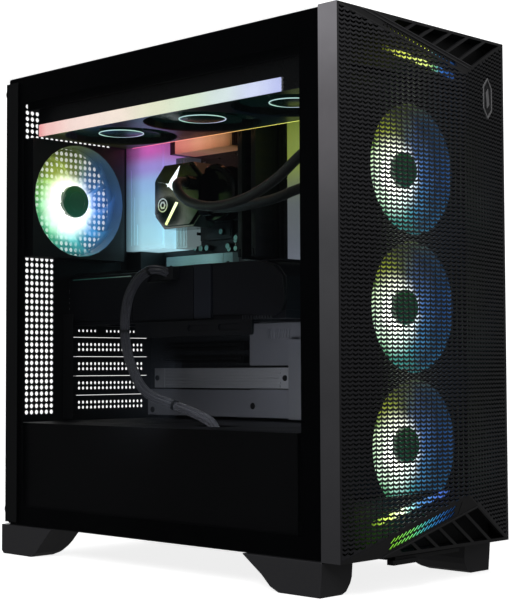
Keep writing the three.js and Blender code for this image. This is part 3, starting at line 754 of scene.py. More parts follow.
def fold_rails(top, name):
    """Raised rails beside the grille, from the left edge to the ridge."""
    rise = TOP - RIDGE_TOP if top else RIDGE_BOTTOM - FOOT_TOP
    rails = Shape()
    for offset in ((7.4, 11.6) if top else (15.2,)):
        x0 = LEFT + (offset + 1.2) * (RIDGE_X - LEFT) / rise
        x1 = RIDGE_X + (offset - 1.2) / (rise / (RIDGE_X - LEFT) + rise / (RIGHT - RIDGE_X))
        rails.prism(fold_strip(top, x0, x1, offset, 0.7), "y", -0.5, 0.6, place=on_face)
    rails.done("fold_rails_" + name, RAIL, "bezel_plastic", bevel=0.2, body="front_panel")


for top, name, finishes in ((True, "top", [BAND_TOP, CURVE_TOP]), (False, "bottom", [BAND_LOW, CURVE_LOW])):
    light_guide(top, name, finishes)
    light_grille(top, name)
    fold_rails(top, name)


BADGE = surface("badge_metal", (170, 170, 172), 0.4, grain=900, bump=0.08)


def front_badge():
    x, _, z = limits("front_badge")
    mx, mz = sum(x) / 2, sum(z) / 2
    def lozenge(w, h):
        return [
            (mx - w, mz - h * 0.55), (mx, mz - h), (mx + w, mz - h * 0.55), (mx + w, mz + h * 0.55),
            (mx, mz + h), (mx - w, mz + h * 0.55),
        ]
    badge = Shape()
    badge.prism(lozenge(9.5, 18.5), "y", -0.55, 0.6, [lozenge(8.1, 16.6)], on_side)
    badge.prism(
        [(mx - 1.1, mz - 9), (mx + 3.4, mz - 5), (mx + 1.1, mz + 9), (mx - 3.4, mz + 5)], "y", -0.5, 0.6,
        place=on_side,
    )
    badge.of(1).prism(lozenge(8.1, 16.6), "y", 0.2, 0.65, place=on_side)
    badge.done("plain_badge", [BADGE, DARK], "badge_metal", ["front_badge"], bevel=0.12, body="front_panel")


front_badge()


def louvre_shade_plates():
    """Dark plates that back the louvres above and below the mesh: painted shade, standing in for the dark
    interior seen through them.
    """
    liner = Shape()
    for low, high in ((TOP - 44, TOP - 3), (FOOT_TOP + 3, FOOT_TOP + 48)):
        liner.box((LEFT + 14, RIGHT - 14), (FRONT + 12.6, FRONT + 13.4), (low, high))
    liner.done("louvre_shade_plates", WALL, "bezel_plastic", body="front_panel")


louvre_shade_plates()

# ---------------------------------------------------------------- fans


def fan_glow(name, around, halo, strength, clear=0.0):
    """Frosted plastic lit from its hub. The colour goes round the axis, local Y, and fades outwards.
    clear is the share of light that passes straight through, away from the white halo."""
    tree = Tree(name)
    parts = tree.node("ShaderNodeSeparateXYZ", {0: tree.place})
    flat = tree.node("ShaderNodeCombineXYZ", {0: parts.outputs[0], 1: parts.outputs[2]}).outputs[0]
    turn = tree.node("ShaderNodeTexGradient", {"Vector": flat}, gradient_type="RADIAL").outputs["Fac"]
    reach = tree.node("ShaderNodeVectorMath", {0: flat}, operation="LENGTH").outputs["Value"]
    out = tree.spread(reach, 0.0, 1.0, 0.019, 0.056)
    hue = tree.ramp(turn, around)
    off = tree.node("ShaderNodeVectorMath", {0: flat, 1: halo[:3]}, operation="SUBTRACT").outputs[0]
    away = tree.node("ShaderNodeVectorMath", {0: off}, operation="LENGTH").outputs["Value"]
    core = tree.ramp(
        tree.spread(away, 0.0, 1.0, 0.012, halo[3]),
        [(0.0, grey(1)), (0.35, grey(0.6)), (1.0, grey(0))],
    )
    white = tree.node("ShaderNodeSeparateColor", {0: core}).outputs[0]
    lit = tree.mix(white, hue, (0.95, 1.0, 0.9, 1))
    fade = tree.ramp(
        out,
        [(0.0, grey(1)), (0.5, grey(0.62)), (0.8, grey(0.32)), (1.0, grey(0.14))],
    )
    uneven = tree.spread(tree.noise(55.0, 4.0), 0.75, 1.15, 0.3, 0.7)
    lit = tree.mix(1.0, tree.mix(1.0, lit, fade, "MULTIPLY"), uneven, "MULTIPLY")
    relief = tree.node(
        "ShaderNodeBump", {"Strength": 0.1, "Distance": 0.0003, "Height": tree.noise(1500.0)},
    )
    return tree.shader({
        "Base Color": tree.mix(uneven, (0.06, 0.07, 0.075, 1), (0.11, 0.125, 0.13, 1)),
        "Roughness": tree.spread(uneven, 0.3, 0.45), "Normal": relief.outputs[0],
        "Emission Color": lit, "Emission Strength": strength, "Alpha": tree.spread(white, 1.0 - clear, 1.0),
    })


# Round the axis as seen from the front: 0 at -X, then down, +X, up and back to -X.
FRONT_AROUND = stops(
    (0.0, 90, 170, 90), (0.12, 70, 180, 110), (0.25, 60, 156, 150), (0.36, 48, 100, 140),
    (0.5, 44, 76, 122), (0.66, 42, 62, 96), (0.74, 62, 70, 36), (0.86, 120, 130, 40),
    (1.0, 100, 170, 70),
)
FRONT_GLOW = fan_glow("frosted_blade_front", FRONT_AROUND, (-0.011, -0.006, 0.0, 0.041), 2.6)
REAR_AROUND = stops(
    (0.0, 90, 190, 110), (0.12, 60, 190, 130), (0.25, 60, 180, 180), (0.36, 50, 130, 190),
    (0.5, 50, 104, 180), (0.62, 50, 92, 140), (0.74, 96, 110, 50), (0.86, 150, 170, 60),
    (1.0, 104, 190, 90),
)
REAR_GLOW = fan_glow("frosted_blade_rear", REAR_AROUND, (-0.007, -0.006, 0.0, 0.040), 3.6, 0.68)
DUCT_GLOW = fan_glow("lit_duct", REAR_AROUND, (-0.1, 0.0, 0.0, 0.04), 2.4)
HUB = surface(
    "fan_hub", (12, 30, 22), 0.35, grain=900, bump=0.1,
    glow=("Z", -19, 19, even([(26, 84, 66), (18, 68, 46), (28, 84, 42)])), strength=0.8,
)


DUCT = 57.8  # outer radius of a fan's lit duct
TIP = 56.3  # radius of the blades' tips
BLADES = 9
SWEEP = 0.5  # turn of a blade's tip from its root, in radians
CAMBER = 1.6
STEPS = 8  # pieces that a blade is cut into along and across


def blades(shape, place, hub, span, depth):
    """Swept, cambered fan blades. place turns local (across, up, along axis) into the frame."""
    for k in range(BLADES):
        start = 2 * math.pi * k / BLADES
        sheets = []
        for side in (-0.5, 0.5):
            for i in range(STEPS + 1):
                s = i / STEPS
                r = hub + (TIP - hub) * s
                thick = 1.5 - 0.7 * s
                for j in range(STEPS + 1):
                    t = j / STEPS
                    angle = start + span * (t - 0.5) + SWEEP * s * s
                    pitch = depth * (0.5 - t) * (0.4 + 0.5 * s)
                    h = pitch + CAMBER * 4 * t * (1 - t) * s + side * thick
                    sheets.append(place(r * math.cos(angle), r * math.sin(angle), h))
        n = STEPS + 1
        half = n * n
        faces = []
        for i in range(STEPS):
            for j in range(STEPS):
                a = i * n + j
                faces += [
                    (a, a + 1, a + n + 1, a + n), (half + a, half + a + n, half + a + n + 1, half + a + 1),
                ]
        rim = [j for j in range(STEPS)] + [i * n + STEPS for i in range(STEPS)]
        rim += [STEPS * n + j for j in range(STEPS, 0, -1)] + [i * n for i in range(STEPS, 0, -1)]
        for a, b in zip(rim, rim[1:] + rim[:1]):
            faces.append((a, b, b + half, a + half))
        shape.add(sheets, faces)


def upright_rotor(name, node, body, glow, hub):
    """A frosted rotor whose axis is along Y, facing the front."""
    across, _, up = limits(node.replace("rotor", "frame"))
    middle = Vector([sum(span) / 2 for span in (across, limits(node)[1], up)])
    rotor = Shape()
    blades(rotor, lambda a, b, h: middle + Vector((a, h, b)), hub - 1, 0.87, 7.5)
    cap = [
        (hub - 4, 8), (hub, 7), (hub + 0.2, -5.5), (hub - 1, -7.2), (hub - 6.4, -7.7), (hub - 6.8, -7.2),
        (3, -7.2),
    ]
    rotor.of(1).lathe(cap, middle, (0, 1, 0))
    rotor.done(name, [glow, HUB], "frosted_blade", [node], body=body, origin=middle)
    wall = [(DUCT, -12), (DUCT, 12), (DUCT - 0.6, 12), (DUCT - 0.6, -12), (DUCT, -12)]
    duct = Shape().lathe(wall, middle, (0, 1, 0), 72, False)
    duct.done(name.replace("rotor_blades", "fan_duct"), DUCT_GLOW, "fan_plastic", origin=middle)
    return middle


for i in (1, 2, 3):
    upright_rotor(f"front_rotor_blades_{i}", f"front_fan_rotor_{i}", f"front_rotor_{i}", FRONT_GLOW, 15.4)
    finish_node(f"front_fan_frame_{i}", DARK, 0.6)
REAR_HUB = upright_rotor("rear_rotor_blades", "rear_fan_rotor", "rear_rotor", REAR_GLOW, 16.5)
finish_node("rear_fan_frame", DARK, 0.6)

y_cooler = limits("radiator_fan_frame")[1]
# Painted light: coloured spill from the rotors on the cooler fan frames' underside; fade keeps it to the
# lower face.
COOLER_UNDER_PAINTED_LIGHT = even(
    [(62, 60, 14), (16, 34, 34), (70, 14, 30), (10, 40, 30), (8, 26, 40), (10, 30, 22), (6, 14, 30)]
)
COOLER_PLASTIC = surface(
    "cooler_fan_plastic", (16, 18, 20), 0.3, grain=1200, bump=0.15,
    glow=("Y", y_cooler[1], y_cooler[0], COOLER_UNDER_PAINTED_LIGHT), strength=0.2, fade=("Z", 421.6, 421),
)
COOLER_BLADE = surface(
    "cooler_fan_blade", (14, 22, 24), 0.25, grain=1200, bump=0.1,
    glow=(
        "Y", y_cooler[1], y_cooler[0],
        even([(12, 30, 34), (4, 22, 24), (8, 34, 30), (4, 22, 16), (4, 16, 24)]),
    ),
    strength=0.35,
)
HUB_RING = surface(
    "hub_ring_light", (60, 70, 70), 0.4,
    glow=("X", -24, 24, even([(200, 240, 240), (190, 240, 220), (200, 205, 240)])), strength=1.2,
)


def cooler_rotors():
    for i in (1, 2, 3):
        node = f"radiator_fan_rotor_{i}"
        middle = Vector([sum(span) / 2 for span in (limits("radiator")[0], *limits(node)[1:])])
        rotor = Shape()
        blades(rotor, lambda a, b, h: middle + Vector((a, b, -h)), 20, 0.84, 6.5)
        rotor.lathe([(20, 8), (22, 7), (22, -6.5), (19, -7.8), (3, -7.9)], middle, (0, 0, 1))
        rotor.of(1).ring(middle - Vector((0, 0, 7.1)), (0, 0, 1), 22.5, 0.45)
        rotor.done(
            f"cooler_rotor_blades_{i}", [COOLER_BLADE, HUB_RING], "frosted_blade", [node],
            body=f"cooler_rotor_{i}", origin=middle,
        )


cooler_rotors()
finish_node("radiator_fan_frame", COOLER_PLASTIC, 0.8)
finish_node("radiator", STEEL, 0.5)

# ---------------------------------------------------------------- cooler light bar, pump and hoses

BAR_STOPS = stops(
    (0.0, 240, 140, 142), (0.05, 252, 196, 190), (0.18, 252, 224, 214), (0.36, 250, 232, 216),
    (0.52, 228, 232, 200), (0.66, 216, 236, 206), (0.78, 212, 230, 228), (0.9, 208, 218, 250),
    (1.0, 180, 190, 242),
)


def light_bar():
    x, y, z = limits("radiator_light_bar")
    diffuser = surface(
        "light_bar_diffuser", (190, 190, 190), 0.4, glow=("Y", y[1], y[0], BAR_STOPS), strength=1.16,
    )
    bar = Shape().prism(rounded((y[0] + 2, y[1] - 2), (z[0] + 0.2, z[1] - 0.2), 1), "x", x[0], x[1])
    bar.of(1).box((x[0] + 0.3, x[1]), (y[0], y[0] + 1.9), z)
    bar.of(1).box((x[0] + 0.3, x[1]), (y[1] - 1.9, y[1]), z)
    bar.done("cooler_light_bar", [diffuser, BRIGHT], "light_guide", ["radiator_light_bar"], bevel=0.25)
    far = limits("radiator_fan_frame")[0][1]
    shades = even([
        (240, 90, 150), (245, 120, 120), (240, 170, 110), (215, 205, 90), (190, 205, 80), (140, 190, 90),
    ])
    edge = surface("far_edge_light", (120, 120, 120), 0.4, glow=("Y", y[1], y[0], shades), strength=2.4)
    line = Shape().box((far + 0.3, far + 1.7), (y[0], y[1] - 6), (z[0] + 0.4, z[0] + 2.6))
    line.done("cooler_far_edge_light", edge, "light_guide")


light_bar()


PUMP_FRONT = 25.0
PUMP_CORNER = 14
SUPPLY_PORT = (101, 374)  # (y, z) of the swivel fitting's middle
RETURN_PORT = (33, 347)  # (x, z)


def pump_head():
    y, z = limits("pump_block")[1:]
    y = (92.0, y[1])
    front, corner = PUMP_FRONT, PUMP_CORNER
    def octagon(inset):
        a, b, c, d = y[0] + inset, y[1] - inset, z[0] + inset, z[1] - inset
        return [
            (a + corner, c), (b - corner, c), (b, c + corner), (b, d - corner),
            (b - corner, d), (a + corner, d), (a, d - corner), (a, c + corner),
        ]
    head = Shape()
    head.prism(octagon(0), "x", front + 3.5, 54)
    head.prism(octagon(2.5), "x", front + 0.4, front + 3.5)
    head.prism(octagon(1.2), "x", 44, 46.5)
    head.prism(rounded((58, 160), (336, 392), 20, 8), "x", 53.5, 70)
    head.lathe([(30, 40), (28, 38.5), (24, 38.5), (22, 40), (8, 41)], (0, 86, 364), (1, 0, 0), 48)
    head.prism(rounded((62, 112), (339, 389), 22, 8), "x", 40.5, 54)
    head.box((68, BOARD_TOP), (99, 144), (342, 389))
    (sy, sz), (rx, rz) = SUPPLY_PORT, RETURN_PORT
    head.rod((14, sy, sz), (27, sy, sz), 7.2, 28)
    head.rod((rx, 82, rz), (rx, 96, rz), 7.2, 28)
    for k in range(3):
        head.ring((16 + k * 3.4, sy, sz), (1, 0, 0), 7.1, 0.5, 28, 6)
        head.ring((rx, 84 + k * 3.4, rz), (0, 1, 0), 7.1, 0.5, 28, 6)
    head.done("pump_head", [GLOSS], "pump_plastic", ["pump_block"], bevel=0.8)


def pump_face():
    """The lit wedges on the pump's face and its plain round emblem."""
    z = limits("pump_block")[2]
    face = PUMP_FRONT + 0.4
    shades = even([(225, 240, 130), (235, 250, 190), (225, 240, 240), (235, 245, 255)])
    lit = surface("pump_light", (190, 195, 190), 0.4, glow=("Z", z[0] + 4, z[1] - 6, shades), strength=1.9)
    marks = Shape()
    for wedge in (
        [(122.5, 394), (137, 380.5), (142, 373.5), (129.5, 376)],
        [(161.5, 381), (144.5, 377.5), (131, 367.5), (135, 375.5)],
        [(125, 356), (129, 357), (145.5, 335), (142.5, 333.5)],
    ):
        marks.prism(wedge, "x", face - 0.35, face + 0.2)
    marks.done("pump_light_marks", lit, "pump_plastic")
    emblem = surface("pump_emblem", (150, 160, 165), 0.4, glow=("Z", 346, 364, shades), strength=0.55)
    badge = Shape().prism(
        circle(149, 355, 7.4, 28), "x", face - 0.3, face + 0.2, [circle(149, 355, 6.2, 28)],
    )
    badge.prism(circle(149, 355, 4.4, 6), "x", face - 0.3, face + 0.2, [circle(149, 355, 2.4, 6, 0.5)])
    badge.done("pump_round_emblem", emblem, "pump_plastic")


pump_head()
pump_face()

SUPPLY_HOSE = [
    (13.5, 101, 374), (10, 101, 374), (4, 100, 373), (-3, 96, 368), (-8, 85, 358), (-10, 66, 348),
    (-13, 30, 341.5), (-18, -16, 345), (-28, -65, 357), (-40, -107, 373), (-47, -143.8, 388),
    (-51, -154, 398), (-55, -160.3, 409), (-57.5, -163.2, 424), (-58, -163.2, 440.7),
]
RETURN_HOSE = [
    (33, 81.5, 347), (33, 78, 347), (30, 66, 346), (25, 48, 344.5), (18, 24, 343.5), (6, -30, 345),
    (-4, -73, 350), (-9, -113, 353), (-11, -138, 359), (-12.5, -156.3, 377), (-13.5, -162.5, 402),
    (-14, -163.2, 440.7),
]


def braid_material(name, base, light, pitch):
    """Woven sleeving: small raised cells, lighter in places; base and light are in sRGB."""
    tree = Tree(name)
    weave = tree.node("ShaderNodeTexVoronoi", {"Vector": tree.place, "Scale": pitch})
    strand = tree.spread(weave.outputs["Distance"], 0.0, 1.0, 0.55, 0.9)
    uneven = tree.noise(300.0)
    shade = tree.mix(tree.maths("MULTIPLY", strand, uneven), colour(*light), colour(*base))
    relief = tree.node(
        "ShaderNodeBump", {"Strength": 0.5, "Distance": 0.0004, "Height": weave.outputs["Distance"]},
    )
    return tree.shader({
        "Base Color": shade, "Roughness": tree.spread(uneven, 0.38, 0.55, 0.3, 0.7),
        "Normal": relief.outputs[0],
        "Sheen Weight": 0.15,
    })


HOSE = braid_material("hose_sleeve", (3, 3, 4), (12, 12, 14), 900)
BRAID = braid_material("cable_braid", (2, 2, 3), (44, 45, 51), 420)


def hoses():
    for name, node, points in (
        ("supply_hose", "coolant_hose_supply", SUPPLY_HOSE),
        ("return_hose", "coolant_hose_return", RETURN_HOSE),
    ):
        path = smooth_path(points, 110)
        hose = Shape().tube(path, 4.8, 20).of(1)
        for collar in (path[:5], path[:-6:-1]):
            hose.tube(collar, 5.4, 20)
        hose.done(name, [HOSE, DARK], "hose_rubber", [node])


hoses()

POWER_LEAD = [
    (-47.5, 61, 277), (-54, 64, 279.5), (-59, 74, 279), (-61, 90, 270), (-61, 104, 250), (-60, 109, 218),
    (-58, 102, 188), (-57, 81, 162), (-54, 45, 150), (-50, 18, 142), (-46, 2, 134), (-45, -5, 124),
]


def power_cable():
    path = smooth_path(POWER_LEAD, 90)
    lead = Shape()
    strands = [(-3.1, 0), (0, 0), (3.1, 0), (-1.6, 2.7), (1.6, 2.7), (-1.6, -2.7), (1.6, -2.7)]
    runs = [[] for _ in strands]
    for p, across, other in carried(path, Vector((0, 0.3, 1))):
        for run, (a, b) in zip(runs, strands):
            run.append(p + across * a + other * b)
    for run in runs:
        lead.tube(run, 1.7, 10)
    lead.of(1)
    for at in (16, 40, 66):
        ahead = (path[at + 1] - path[at - 1]).normalized()
        lead.rod(path[at] - ahead * 1.4, path[at] + ahead * 1.4, 5.0, 20)
    lead.prism(rounded((51.2, 70.8), (270.2, 282.8), 1.2), "x", -49, -40.4)
    lead.box((-46, -42), (57, 65), (281, 283))
    lead.done("graphics_power_lead", [BRAID, DARK], "cable_braid", ["graphics_power_cable"])


power_cable()

# ---------------------------------------------------------------- rear wall, slot covers and chassis


FAN_SCREW = 52.5  # from a 120 mm fan's middle to its screws, across and up
SLOT_PITCH = 20.32  # expansion slot spacing


def grid(u0, u1, v0, v1, pitch, radius, keep=None):
    """Round holes on a square grid between limits, where keep allows them."""
    holes = []
    for i in range(int((u1 - u0) / pitch + 1.01)):
        for k in range(int((v1 - v0) / pitch + 1.01)):
            u, v = u0 + i * pitch, v0 + k * pitch
            if keep is None or keep(u, v):
                holes.append(circle(u, v, radius, 10))
    return holes


def rear_wall():
    x, y, z = limits("rear_panel")
    fan = limits("rear_fan_frame")
    fx, fz = sum(fan[0]) / 2, sum(fan[2]) / 2
    def clear_of_screws(u, v):
        return abs(abs(u - fx) - FAN_SCREW) >= 5 or abs(abs(v - fz) - FAN_SCREW) >= 5
    openings = [
        rectangle((36, 79.5), (283.5, 440)), rectangle((-31, 73), (137.3, 278.1)),
        rectangle((-60, 80), (38, 114)),
    ]
    holes = grid(-95.6, -56, 140.5, 298, 6.3, 2.3)
    holes += grid(-95.6, 18, 303.7, 458, 6.3, 2.3, keep=clear_of_screws)
    screws = [(fx + a * FAN_SCREW, fz + b * FAN_SCREW) for a in (-1, 1) for b in (-1, 1)]
    wall = Shape().prism(rectangle(x, z), "y", y[0], y[1] - 0.3, openings + holes)
    wall.of(1)
    for u, v in screws:
        wall.lathe([(4.2, 0), (4.2, 0.2), (3.4, 1.6), (0.6, 1.7)], (u, y[1] - 0.3, v), (0, 1, 0), 20)
    for v in (150, 170.4, 190.7, 211, 231.3, 251.6, 272):  # slot screws
        wall.lathe([(3.3, 0), (3.3, 1.2), (2.4, 1.9), (0.5, 1.9)], (90, y[1] - 0.3, v), (0, 1, 0), 16)
    wall.of(0)
    for u in (-108.6, 112.8):
        wall.box((u, u + 0.9), (y[0] - 14, y[0] + 0.2), (z[0] + 2, z[1] - 2))
    wall.done("rear_wall", [WALL, SCREW], "chassis_steel", ["rear_panel"])


rear_wall()


def slot_covers():
    for i in range(1, 6):
        name = f"slot_cover_{i}"
        x, y, z = limits(name)
        middle = sum(z) / 2
        rows = middle - 2.7, middle + 2.7
        holes = [circle(x[0] + 12.5 + k * 5.4, v, 1.7, 10) for k in range(17) for v in rows] if i < 5 else [
            circle(x[0] + 12.5 + k * 5.4, middle - 3.2, 1.5, 10) for k in range(17) if k not in (5, 6)]
        cover = Shape().prism(rounded(x, (z[0] - 0.3, z[1] + 0.3), 0.8), "y", y[0], y[1] - 0.2, holes)
        cover.box((x[0] + 8, x[1] - 12), (y[0] - 0.5, y[0] + 0.1), (z[1] - 1.4, z[1] - 0.7))
        cover.done(f"perforated_cover_{i}", STEEL, "chassis_steel", [name])


slot_covers()


def slot_frame():
    """The lipped frame round the expansion slots, with a ledge between each two covers."""
    y = limits("slot_cover_1")[1]
    low, high = limits("slot_cover_1")[2][0], limits("slot_cover_5")[2][1]
    frame_piece = Shape()
    frame_piece.box((-44, -36), (y[0] - 1.5, y[0] - 0.5), (low - 4, high + 4))
    frame_piece.box((-44, -43), (y[0] - 16, y[0] - 0.5), (low - 4, high + 4))
    for i in range(6):
        z = low + i * SLOT_PITCH - 0.6
        frame_piece.box((-43, -36), (y[0] - 12, y[0] - 1), (z, z + 0.8))
    frame_piece.done("slot_frame", STEEL, "chassis_steel", bevel=0.15)


slot_frame()
for name, finish, bevel in (
    ("base_tray", STEEL, 0.0), ("motherboard_tray", WALL, 0.0), ("front_frame", WALL, 0.0),
    ("top_frame", STEEL, 0.0),
    ("psu_shroud", SHROUD, 0.6), ("bottom_filter", PLASTIC, 0.4), ("io_strip", PLASTIC, 0.5),
    ("power_button", GLOSS, 0.6),
    ("power_supply", STEEL, 0.4), ("power_supply_switch", GLOSS, 0.4),
    *((f"foot_{end}_{side}", FOOT, 1.2) for end in ("front", "rear") for side in ("left", "right")),
    *((f"graphics_fan_{i}", CARD, 0.3) for i in (1, 2, 3)),
):
    finish_node(name, finish, bevel)


def top_mesh():
    x, y, z = limits("top_filter")
    pitch = 5.2
    holes = []
    nx, ny = int((x[1] - x[0] - 16) / pitch), int((y[1] - y[0] - 16) / pitch)
    for i in range(nx):
        for k in range(ny):
            u, v = x[0] + 8 + (i + 0.5) * (
                x[1] - x[0] - 16
            ) / nx, y[0] + 8 + (k + 0.5) * (y[1] - y[0] - 16) / ny
            holes.append(circle(u, v, 2.1, 6))
    cover = Shape().prism(rounded(x, y, 4), "z", z[1] - 1.3, z[1] - 0.3, holes)
    cover.prism(rounded(x, y, 4), "z", z[0], z[1], [rounded((x[0] + 5, x[1] - 5), (y[0] + 5, y[1] - 5), 3)])
    cover.done("top_filter_mesh", PLASTIC, "filter_plastic", ["top_filter"], body="top_dust_filter")


top_mesh()


def case_edges():
    """The thin edges of the chassis, whose brightness is painted light, and a few interior sheet pieces that
    the board sits among.
    """
    tray = limits("motherboard_tray")
    board = limits("motherboard")
    edge = board[1][0]
    low, high = board[2][0], board[2][1] + 8
    # Painted reflected light: the strips glow dark at the bottom, bright and greenish at the top.
    finish = surface(
        "cover_strip_painted_light", (120, 122, 128), 0.4, 0.4, vary=0.2, grain=300, bump=0.08, stretch=(1, 1, 20),
        glow=("Z", low, high, even([
            (10, 11, 14), (16, 17, 21), (40, 42, 50), (110, 116, 128), (104, 110, 114), (140, 156, 66),
            (110, 126, 30),
        ])),
        strength=0.9,
    )
    for name, z in (("cable_cover_upper", (288, high)), ("cable_cover_lower", (low, 213))):
        strip = Shape().box((62, 64.4), (edge - 1.7, edge + 19.8), z)
        strip.box((62, tray[0][0] - 0.4), (edge - 1.7, edge - 0.5), z)
        strip.done(name, finish, "bracket_steel", bevel=0.4)
    rail = Shape().box((tray[0][0] - 18, tray[0][0] - 6.2), (edge - 62, edge - 22), (140, 444))
    rail.box((tray[0][0] - 19.5, tray[0][0] - 18), (edge - 62, edge - 60.5), (140, 444))
    rail.done("cable_channel", WALL, "chassis_steel", bevel=0.5)


case_edges()

# ---------------------------------------------------------------- motherboard and what is on it


# A lighter copy of the board laminate: painted light for a lit patch of board.
BOARD_PAINTED_LIGHT = surface("board_lit", (96, 102, 106), 0.5, vary=0.5, grain=500, bump=0.3, spots=620)
# Capacitor lids: silver metal with a greenish cast of painted light.
CAN_TOP_WITH_PAINTED_LIGHT = surface("can_top", (150, 190, 184), 0.35, 0.5, grain=900, bump=0.1)


def board_parts():
    x, y, z = limits("motherboard")
    face = 79.0
    laminate = Shape().box((face, x[1]), y, z)
    laminate.done("board_laminate", BOARD, "board_laminate", ["motherboard"], bevel=0.2)
    slots = Shape()
    for ys, zs in (((92, 184), (271, 280)), ((76, 200), (203, 211)), ((76, 200), (190, 197))):
        middle = sum(zs) / 2
        slots.prism(
            rectangle(ys, zs), "x", 70.5, face,
            [rectangle((ys[0] + 3, ys[1] - 3), (middle - 0.9, middle + 0.9))],
        )
        slots.prism(rectangle((ys[0] + 1, ys[0] + 8), zs), "x", 68.5, 70.8)
    for k in range(4):
        at = 28.5 + k * 9.5
        for side in (-2.4, 2.4):
            slots.box((73, face), (at + side - 0.8, at + side + 0.8), (291, 431))
        for end in (290, 428):
            slots.box((70.5, face), (at - 3, at + 3), (end, end + 4))
    slots.prism(rectangle((-14, -4), (300, 352)), "x", 67, face, [
        rectangle((-13 + 4.4 * a, -9.4 + 4.4 * a), (301.2 + k * 4.2, 304.4 + k * 4.2))
        for a in (0, 1) for k in range(12)
    ])
    slots.done("board_sockets", DARK, "board_laminate", ["motherboard"], bevel=0.15)
    socket = Shape().prism(rectangle((96, 144.5), (320, 341.5)), "x", 75, face)
    socket.prism(rounded((98, 142), (322, 340), 2), "x", 74.2, 75.2)
    socket.done("socket_frame", DARK, "heatsink_metal", ["motherboard"], bevel=0.3)
    draw = random.Random(7)
    cans, chips = Shape(), Shape()
    small = [(60 + 9.6 * (k % 5), 309 + 8.5 * (k // 5)) for k in range(9)]
    large = [(132, 312), (141, 312), (150, 313), (100, 312), (110, 328), (88, 320), (70, 330), (150, 328)]
    for places, radius, tall, lid in ((small, 3.1, 6.5, 2.7), (large, 3.4, 7, 2.9)):
        for u, v in places:
            cans.of(0).rod((face, u, v), (face - tall, u, v), radius)
            cans.of(1).rod((face - tall + 0.1, u, v), (face - tall - 0.4, u, v), lid)
    # A patch of board in the lighter laminate, painted light.
    painted_light_patch = Shape().prism(rounded((56, 95), (287, 326), 2), "x", face - 0.5, face + 0.1)
    painted_light_patch.done("board_lit_area", BOARD_PAINTED_LIGHT, "board_laminate")
    cans.done("board_capacitors", [SCREW, CAN_TOP_WITH_PAINTED_LIGHT], "heatsink_metal", ["motherboard"], bevel=0.2)
    for k in range(150):
        u, v = draw.uniform(y[0] + 5, y[1] - 60), draw.uniform(z[0] + 106, z[1] - 10)
        w, h = draw.uniform(0.8, 3.2), draw.uniform(0.8, 2.4)
        chips.of(k % 3 == 0).box((face - draw.uniform(0.6, 2.2), face), (u, u + w), (v, v + h))
    chips.done("board_components", [DARK, BRIGHT], "board_laminate", ["motherboard"])


board_parts()


def metal_with_painted_light(name, ramp, strength, rough, metal, vary, bump, fade=None):
    """Brushed metal with painted reflected light: one ramp of the nearby lamps' colours is both its base
    colour and its glow.
    """
    stretch = (1, 16, 1) if ramp[0] == "Y" else (1, 1, 16)
    return surface(
        name, (0, 0, 0), rough, metal, vary, 260, bump, stretch, painted_tint=ramp, glow=ramp, strength=strength,
        fade=fade,
    )


# Painted reflection of the RGB lamps on the I/O cover: pale cyan low down, magenta at the top.
IO_PAINTED_REFLECTION = even([
    (160, 200, 212), (150, 196, 212), (146, 190, 212), (140, 182, 212), (136, 170, 212), (140, 130, 196),
    (150, 84, 150),
    (130, 48, 90),
])
IO_METAL = metal_with_painted_light(
    "io_cover_metal", ("Z", 310, 436, IO_PAINTED_REFLECTION), 1.42, 0.34, 0.5, 0.05, 0.05, ("Y", 234, 200),
)
# Painted reflected light on the power-stage block: brown at one end, salmon along the rest.
VRM_PAINTED_REFLECTION = even(
    [(120, 84, 50), (176, 128, 92), (196, 144, 110), (206, 152, 126), (208, 140, 124), (206, 128, 120)]
)
VRM_METAL = metal_with_painted_light("vrm_metal", ("Y", 68, 156, VRM_PAINTED_REFLECTION), 0.95, 0.4, 0.5, 0.06, 0.08, ("Z", 405, 420))
# Painted shade: a dark brown, shaded copy of the power-stage block's salmon light, used on its fins and far
# end.
VRM_PAINTED_SHADE = surface("vrm_shade", (52, 30, 26), 0.45, 0.4, grain=260, bump=0.08, stretch=(1, 16, 1))
# Painted reflected light on the block beside the socket: pale cyan at the bottom, darker towards the top.
SIDE_PAINTED_REFLECTION = even([(150, 170, 172), (140, 165, 170), (110, 120, 126), (70, 74, 84)])
SIDE_METAL = metal_with_painted_light("side_metal", ("Z", 312, 409, SIDE_PAINTED_REFLECTION), 0.5, 0.4, 0.4, 0.1, 0.08)
# Painted reflected light on the upper drive cover: a cyan-tinted ramp in its colour and a faint glow along Y.
DRIVE_UPPER_PAINTED_LIGHT = surface(
    "drive_cover_upper", (186, 206, 206), 0.34, 0.5, vary=0.06, grain=260, bump=0.08, stretch=(1, 16, 1),
    painted_tint=("Y", 90, 193, even([(120, 140, 142), (170, 205, 205), (150, 190, 190), (140, 175, 180)])),
    glow=("Y", 90, 193, even([(60, 80, 80), (120, 150, 150), (110, 140, 140), (100, 125, 130)])),
    strength=0.35,
)


def screw_heads(shape, radius, tall, x, places, sides=18):
    """Low screw heads at (y, z) places, which face the glass side."""
    for y, z in places:
        shape.lathe([(radius, 0), (radius - 0.2, -tall), (0.8, -tall)], (x, y, z), (1, 0, 0), sides)


def io_cover():
    y1 = limits("io_cover")[1][1]
    io = Shape()
    io.prism([(165, 312), (228, 312), (228, 430), (220, 432), (172, 432), (165, 425)], "x", 42.5, BOARD_TOP)
    io.of(1).box((44, BOARD_TOP), (205.5, y1 - 1.2), (285, 311))
    io.box((36.3, 79.2), (y1 - 1.1, y1), (284.2, 439.4))
    io.of(0).prism(rounded((167.5, 206), (316, 428), 1.5), "x", 41.7, 42.8)
    for k in range(3):
        io.box((42, 42.7), (209 + k * 5, 211.5 + k * 5), (318, 340 + 30 * k))
    io.done("io_cover_shell", [IO_METAL, DARK], "heatsink_metal", ["io_cover"], bevel=0.8)


